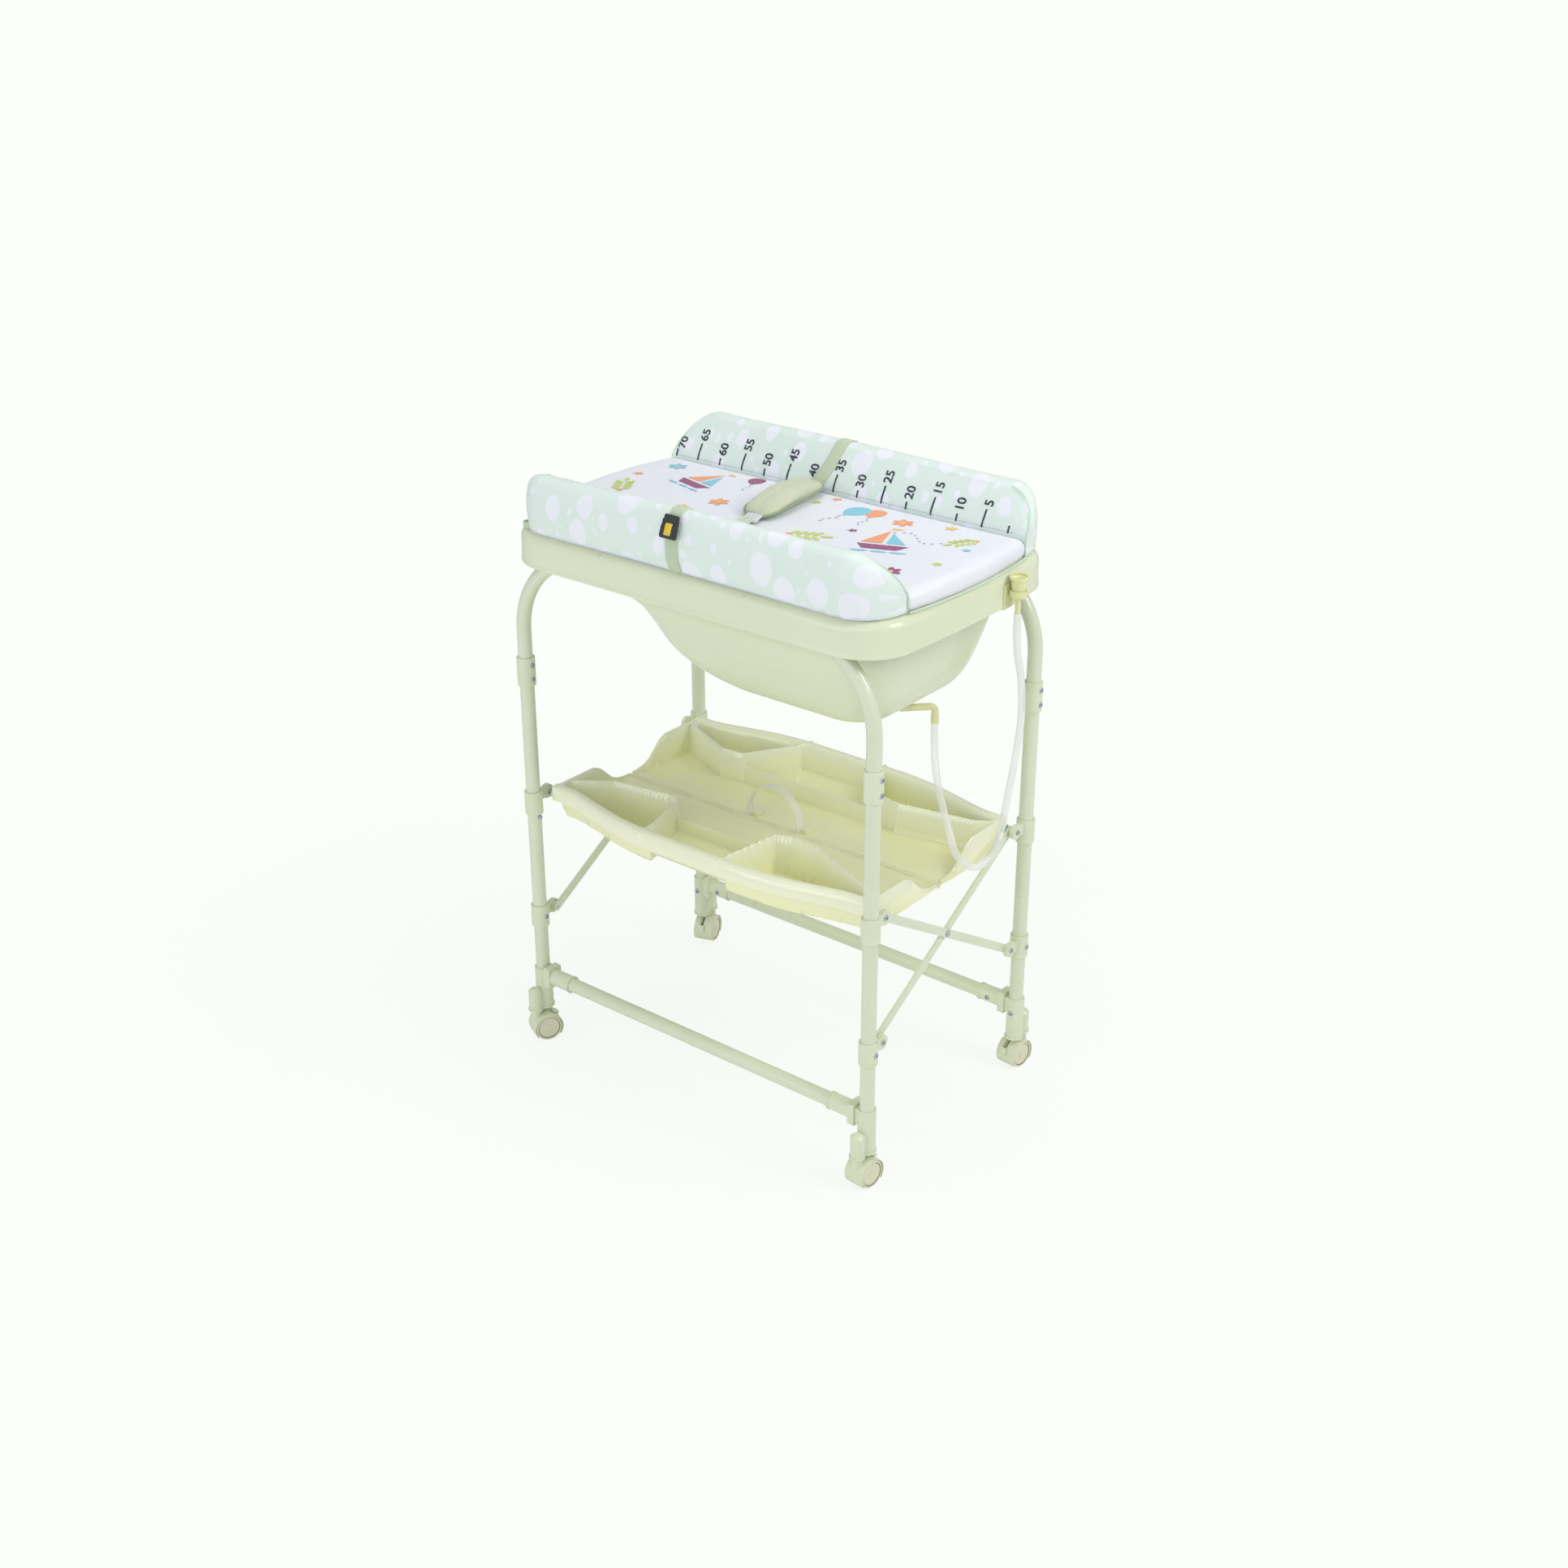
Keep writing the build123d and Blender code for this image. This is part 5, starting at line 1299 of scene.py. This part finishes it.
def make_end_piping():
    shares = [step / piping_steps for step in range(-piping_steps, piping_steps + 1)]
    line = [(mat_right_x + mat_bow * (1 - share ** 2) + piping_out, share * crease_y, mat_low_z + piping_rise)
            for share in shares]
    make_tube("right_end_piping", line, piping_r, "piping")
    mirrored = [(mat_right_x + mat_left_x - x, y, z) for x, y, z in line]
    make_tube("left_end_piping", mirrored, piping_r, "piping")


def make_edge_piping(name, tree, side, look):
    y, z = side * cast_from_y, mat_low_z + edge_piping_rise
    steps = range(2 * piping_steps + 1)
    places = [(edge_half_length * (step / piping_steps - 1), y, z) for step in steps]
    found = [cast(tree, place, (0, -side, 0), seam_lift) for place in places]
    make_tube(name, [point for point in found if point is not None], edge_piping_r, look)


def make_end_seam(name, side, ridge_z, end):
    """Seam from the end of the ridge down to the crease, and on down the corner of the mat."""
    brow_y, brow_z = ridge_y - ridge_width / 2, ridge_z - ridge_width / 3 + 2
    points = [(x, side * (crease_y + (brow_y - crease_y) * share), pad_top_z + (brow_z - pad_top_z) * share)
              for x, share in bolster_stations()[::end] if x * end > 0 and share < 0.999]
    corner_x = mat_right_x if end > 0 else mat_left_x
    points += [(corner_x, side * crease_y, pad_top_z - drop) for drop in seam_drops]
    make_tube(name, points, seam_r, "piping")


make_end_piping()
make_edge_piping("front_edge_piping", front_tree, -1, "edging")
make_edge_piping("back_edge_piping", back_tree, 1, "piping")
for side_name, side, ridge_z in (("front", -1, front_ridge_z), ("back", 1, back_ridge_z)):
    for end_name, end in (("left", -1), ("right", 1)):
        make_end_seam(side_name + "_" + end_name + "_seam", side, ridge_z, end)

# Stitches along both creases
stitch_count = 118
stitch_step = 6.0
first_stitch_x = -352.0
stitch_up = 4.0
stitch_half_length = 1.7
stitch_half_width = 0.5
stitch_lift = 0.35


def make_stitches():
    mesh = bmesh.new()
    for side, tree in ((1, back_tree), (-1, front_tree)):
        stitches = bmesh.new()
        for x in [first_stitch_x + stitch_step * step for step in range(stitch_count)]:
            stitches.faces.new(add_ring(stitches, [
                slope_point(x + across * stitch_half_length, stitch_up + up * stitch_half_width, side)
                for across, up in ((-1, -1), (1, -1), (1, 1), (-1, 1))]))
        stick(stitches, tree, (0, side * slope_in.y, slope_in.z), stitch_lift)
        pour(stitches, mesh)
    new_object("crease_stitches", mesh, "grey", "mat")


make_stitches()

# Harness: bands over the bolsters, belly pad and buckle
band_lift = 1.2
band_thick = 1.7
section_middle_y = 205.0
section_middle_z = 1018.0
section_reach = 150.0
section_steps = 46
back_strap_lean = 34.0
pad_rest_z = 1022.5
# Where a band runs on over the pad: steps, start, and what each step adds
front_run = (8, Vector((harness_x, -152, pad_rest_z)), Vector((-0.4, 15, 0.9)))
back_run = (4, Vector((back_strap_x - 18, 156, pad_rest_z)), Vector((1.5, -6, 1.2)))
front_run_rise = 5.4
tab_run = (6, Vector((-12, -36, 1030.5)), Vector((1.5, -6, -0.9)))
tab_width = 30.0
tab_thick = 1.8
# Section of a band, as shares of its half width and of its thickness
band_shares = ((-1, 0.3), (-0.94, 0.5), (-0.5, 0.55), (0, 0.55), (0.5, 0.55), (0.94, 0.5), (1, 0.3),
               (1, -0.3), (0.94, -0.5), (0, -0.5), (-0.94, -0.5), (-1, -0.3))
tie_loop_line = ((314, -224), (330, -226), (344, -228), (353, -226), (356, -219), (352, -213), (344, -213),
                 (334, -217))
tie_loop_z = 992.5
tie_drop = 0.3
tie_width = 11.0
tie_thick = 1.4
right_tie_shift = (-14, 6)


def section_path(tree, side, x, first, last):
    """Points over a bolster's surface seen from inside its section, between two turns in degrees."""
    points = []
    middle = Vector((x, side * section_middle_y, section_middle_z))
    for step in range(section_steps + 1):
        turn = radians(first + (last - first) * step / section_steps)
        way = Vector((0, side * cos(turn), sin(turn)))
        hit = tree.ray_cast((middle + way * section_reach) * MM, -way)[0]
        if hit is not None:
            points.append(hit / MM + way * band_lift)
    return points


def make_band(name, lines, width, thick, look, side_way=(1, 0, 0)):
    """Woven band along centre lines, with a rounded edge."""
    mesh = bmesh.new()
    for line in lines:
        rings = []
        for before, point, after in zip(line[:1] + line, line, line[1:] + line[-1:]):
            along = (after - before).normalized()
            across = Vector(side_way)
            across = (across - along * across.dot(along)).normalized()
            out = across.cross(along).normalized()
            rings.append(add_ring(mesh, [
                point + across * a * width / 2 + out * b * thick for a, b in band_shares]))
        loft(mesh, rings)
    band = new_object(name, mesh, look, "mat")
    sharpen(band, 50)
    return band


def run_on(steps, start, way):
    return [start + way * step for step in range(steps)]


def make_harness():
    front = section_path(front_tree, -1, harness_x, -38, 176)
    for point in run_on(*front_run):
        point.z = min(point.z, pad_rest_z + front_run_rise)
        front.append(point)
    back = section_path(back_tree, 1, back_strap_x + 14, 20, 120)
    back += section_path(back_tree, 1, back_strap_x - 14, 121, 178)
    for index, point in enumerate(back):
        point.x = back_strap_x + 16 - back_strap_lean * index / (len(back) - 1)
    lines = [front, back + run_on(*back_run)]
    bands = make_band("harness_bands", lines, webbing_width, band_thick, "band")
    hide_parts("harness_straps")


def make_tie_loop(name, end):
    """Loop of band that holds a front corner of the mat on the rim."""
    shift_x, shift_y = right_tie_shift if end > 0 else (0, 0)
    line = [Vector((end * (x + shift_x), y + shift_y, tie_loop_z - tie_drop * step))
            for step, (x, y) in enumerate(tie_loop_line)]
    make_band(name, [line], tie_width, tie_thick, "band", (0, 0, 1))


make_harness()
make_tie_loop("left_tie_loop", -1)
make_tie_loop("right_tie_loop", 1)

# Belly pad: share of its length and half width share there
belly_outline_shares = [
    (-0.50, 0.50), (-0.47, 0.74), (-0.36, 0.94), (-0.10, 1.00), (0.20, 0.98), (0.38, 0.84),
    (0.47, 0.60), (0.50, 0.38),
]
belly_centre = (-26.0, 58.0)
belly_lean = -26.0
belly_length = 192.0
belly_half_width = 35.0
belly_thick = 30.0
belly_low_z = 1021.0
belly_steps = 48
belly_turns = 36
belly_seam_share = 0.32
belly_tip_share = 0.35
swell_up_share = 0.68
swell_down_share = 0.30
side_rise = 3.5
channel_share = 0.16
channel_count = 2.5
channel_crispness = 12
binding_r = 2.2
binding_lift = 3.6


def belly_place(share):
    """Middle, half width, thickness and seam height of the belly pad at a share of its length."""
    half = belly_half_width * smooth_between(belly_outline_shares, share)[0]
    bow = sqrt(max(0.0, 1 - (2 * share) ** 2))
    plump = belly_thick * (belly_tip_share + (1 - belly_tip_share) * bow)
    x, y = belly_centre[0] + belly_lean * share, belly_centre[1] + share * belly_length
    return x, y, half, plump, belly_low_z + plump * belly_seam_share


def make_belly_pad():
    mesh = bmesh.new()
    shares = [-0.5 + step / belly_steps for step in range(belly_steps + 1)]
    rings = []
    for share in shares:
        x, y, half, plump, seam = belly_place(share)
        ring = []
        for across, rise in circle(1.0, belly_turns):
            swell = rise * plump * swell_down_share
            if rise > 0:
                channel = 1 - channel_share * cos(across * channel_count * pi) ** channel_crispness
                swell = rise * plump * swell_up_share * channel
            ring.append((x + across * half, y, seam + swell + side_rise * across ** 2))
        rings.append(add_ring(mesh, ring))
    loft(mesh, rings)
    belly = new_object("belly_pad_cover", mesh, "quilt", "mat")
    puff(belly, voxel=4.0, pressure=4.0, most=4.0)
    refine(belly)
    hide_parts("harness_pad")
    edge = []
    for way in (1, -1):
        for share in shares[::way]:
            x, y, half, _, seam = belly_place(share)
            edge.append((x + way * half, y, seam + binding_lift))
    make_tube("belly_pad_binding", edge, binding_r, "binding", closed=True)
    make_band("harness_tab", [run_on(*tab_run)], tab_width, tab_thick, "tab")


make_belly_pad()

# Buckle: centre, size and corner radius of its blocks, across, up the band and out from it
buckle_blocks = (
    ((0, -8, 3.6), (32, 22, 7), 4), ((0, 11, 3.2), (28, 15, 6), 3),
    ((-13.4, 2, 3.4), (4.6, 18, 5.6), 1.8), ((13.4, 2, 3.4), (4.6, 18, 5.6), 1.8),
)
key_block = ((0, -5, 5.2), (15, 20, 4.6), 2.5)
block_soft = 1.2
block_turns = range(0, 91, 15)


def rounded_blocks(blocks, spot):
    """Blocks with rounded upright edges and softened faces, turned by a matrix."""
    mesh = bmesh.new()
    for (x, y, z), size, radius in blocks:
        half_x, half_y, half_z = (value / 2 for value in size)
        rings = []
        for inset, rise in ((block_soft, -half_z), (0.0, -half_z + block_soft),
                            (0.0, half_z - block_soft), (block_soft, half_z)):
            ring = []
            for corner_x, corner_y, start in ((1, -1, -90), (1, 1, 0), (-1, 1, 90), (-1, -1, 180)):
                for turn in [radians(start + further) for further in block_turns]:
                    ring.append(spot @ Vector((
                        x + corner_x * (half_x - radius) + (radius - inset) * cos(turn),
                        y + corner_y * (half_y - radius) + (radius - inset) * sin(turn), z + rise)))
            rings.append(add_ring(mesh, ring))
        loft(mesh, rings)
    return mesh


def make_buckle():
    tilt = Matrix.Rotation(pi / 2 - buckle_tilt, 4, "X")
    spot = Matrix.Translation((harness_x, buckle_y, buckle_z)) @ tilt
    shell = new_object("buckle_shell", rounded_blocks(buckle_blocks, spot), "buckle", "mat")
    sharpen(shell, 40)
    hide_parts("harness_buckle")
    new_object("buckle_key", rounded_blocks([key_block], spot), "buckle_key", "mat")


make_buckle()


# Floor, backdrop colour and lights
def make_floor():
    mesh = bmesh.new()
    bmesh.ops.create_grid(mesh, x_segments=2, y_segments=2, size=12.0)
    data = bpy.data.meshes.new("floor")
    mesh.to_mesh(data)
    mesh.free()
    floor = link(bpy.data.objects.new("floor", data))
    shader = Shader("floor_paper", 0.9)
    shader.colour(shader.noise(2.0), (252, 253, 250), (249, 251, 247))
    away = shader.node("VectorMath", shader.place, operation="LENGTH").outputs["Value"]
    seen = shader.node("LightPath").outputs["Is Camera Ray"]
    share = shader.math("MULTIPLY", seen, shader.remap(away, 0.5, 1.9, 0.86, 1.0))
    glow = shader.node("Emission", Color=backdrop)
    shader.put(shader.output.inputs["Surface"], shader.blend(share, shader.main, glow))
    floor.data.materials.append(shader.material)


def make_world():
    """Soft daylight, behind which the camera and the clear plastic see the backdrop's colour."""
    world = bpy.data.worlds.new("studio")
    bpy.context.scene.world = world
    world.use_nodes = True
    tree = Tree(world.node_tree)
    light = tree.nodes["Background"]
    light.inputs["Color"].default_value = (0.96, 0.98, 1.0, 1)
    light.inputs["Strength"].default_value = 0.50
    seen = tree.node("Background", Color=backdrop, Strength=1.0)
    path = tree.node("LightPath").outputs
    either = tree.math("MAXIMUM", path["Is Camera Ray"], path["Is Transmission Ray"])
    tree.put(tree.nodes["World Output"].inputs["Surface"], tree.blend(either, light, seen))


def make_lamp(name, location, target, size, power, tint):
    data = bpy.data.lights.new(name, "AREA")
    data.shape = "RECTANGLE"
    data.size, data.size_y = size
    data.energy = power
    data.color = tint
    lamp = link(bpy.data.objects.new(name, data))
    lamp.location = location
    lamp.rotation_euler = (Vector(target) - Vector(location)).to_track_quat("-Z", "Y").to_euler()


make_floor()
make_world()
make_lamp("key", (2.6, 0.6, 2.7), (0, 0, 0.7), (1.3, 1.3), 38, (1.0, 0.99, 0.96))
make_lamp("fill", (-0.6, -3.2, 1.3), (0, 0, 0.5), (2.6, 1.6), 22, (0.97, 0.99, 1.0))
make_lamp("top", (0.0, 0.0, 3.6), (0, 0, 0.9), (2.4, 2.0), 22, (1.0, 1.0, 1.0))
make_lamp("strip", (0.9, -2.4, 2.2), (0, 0, 0.5), (2.2, 0.18), 9, (1.0, 1.0, 1.0))

scene = bpy.context.scene
scene.view_settings.view_transform = "Standard"
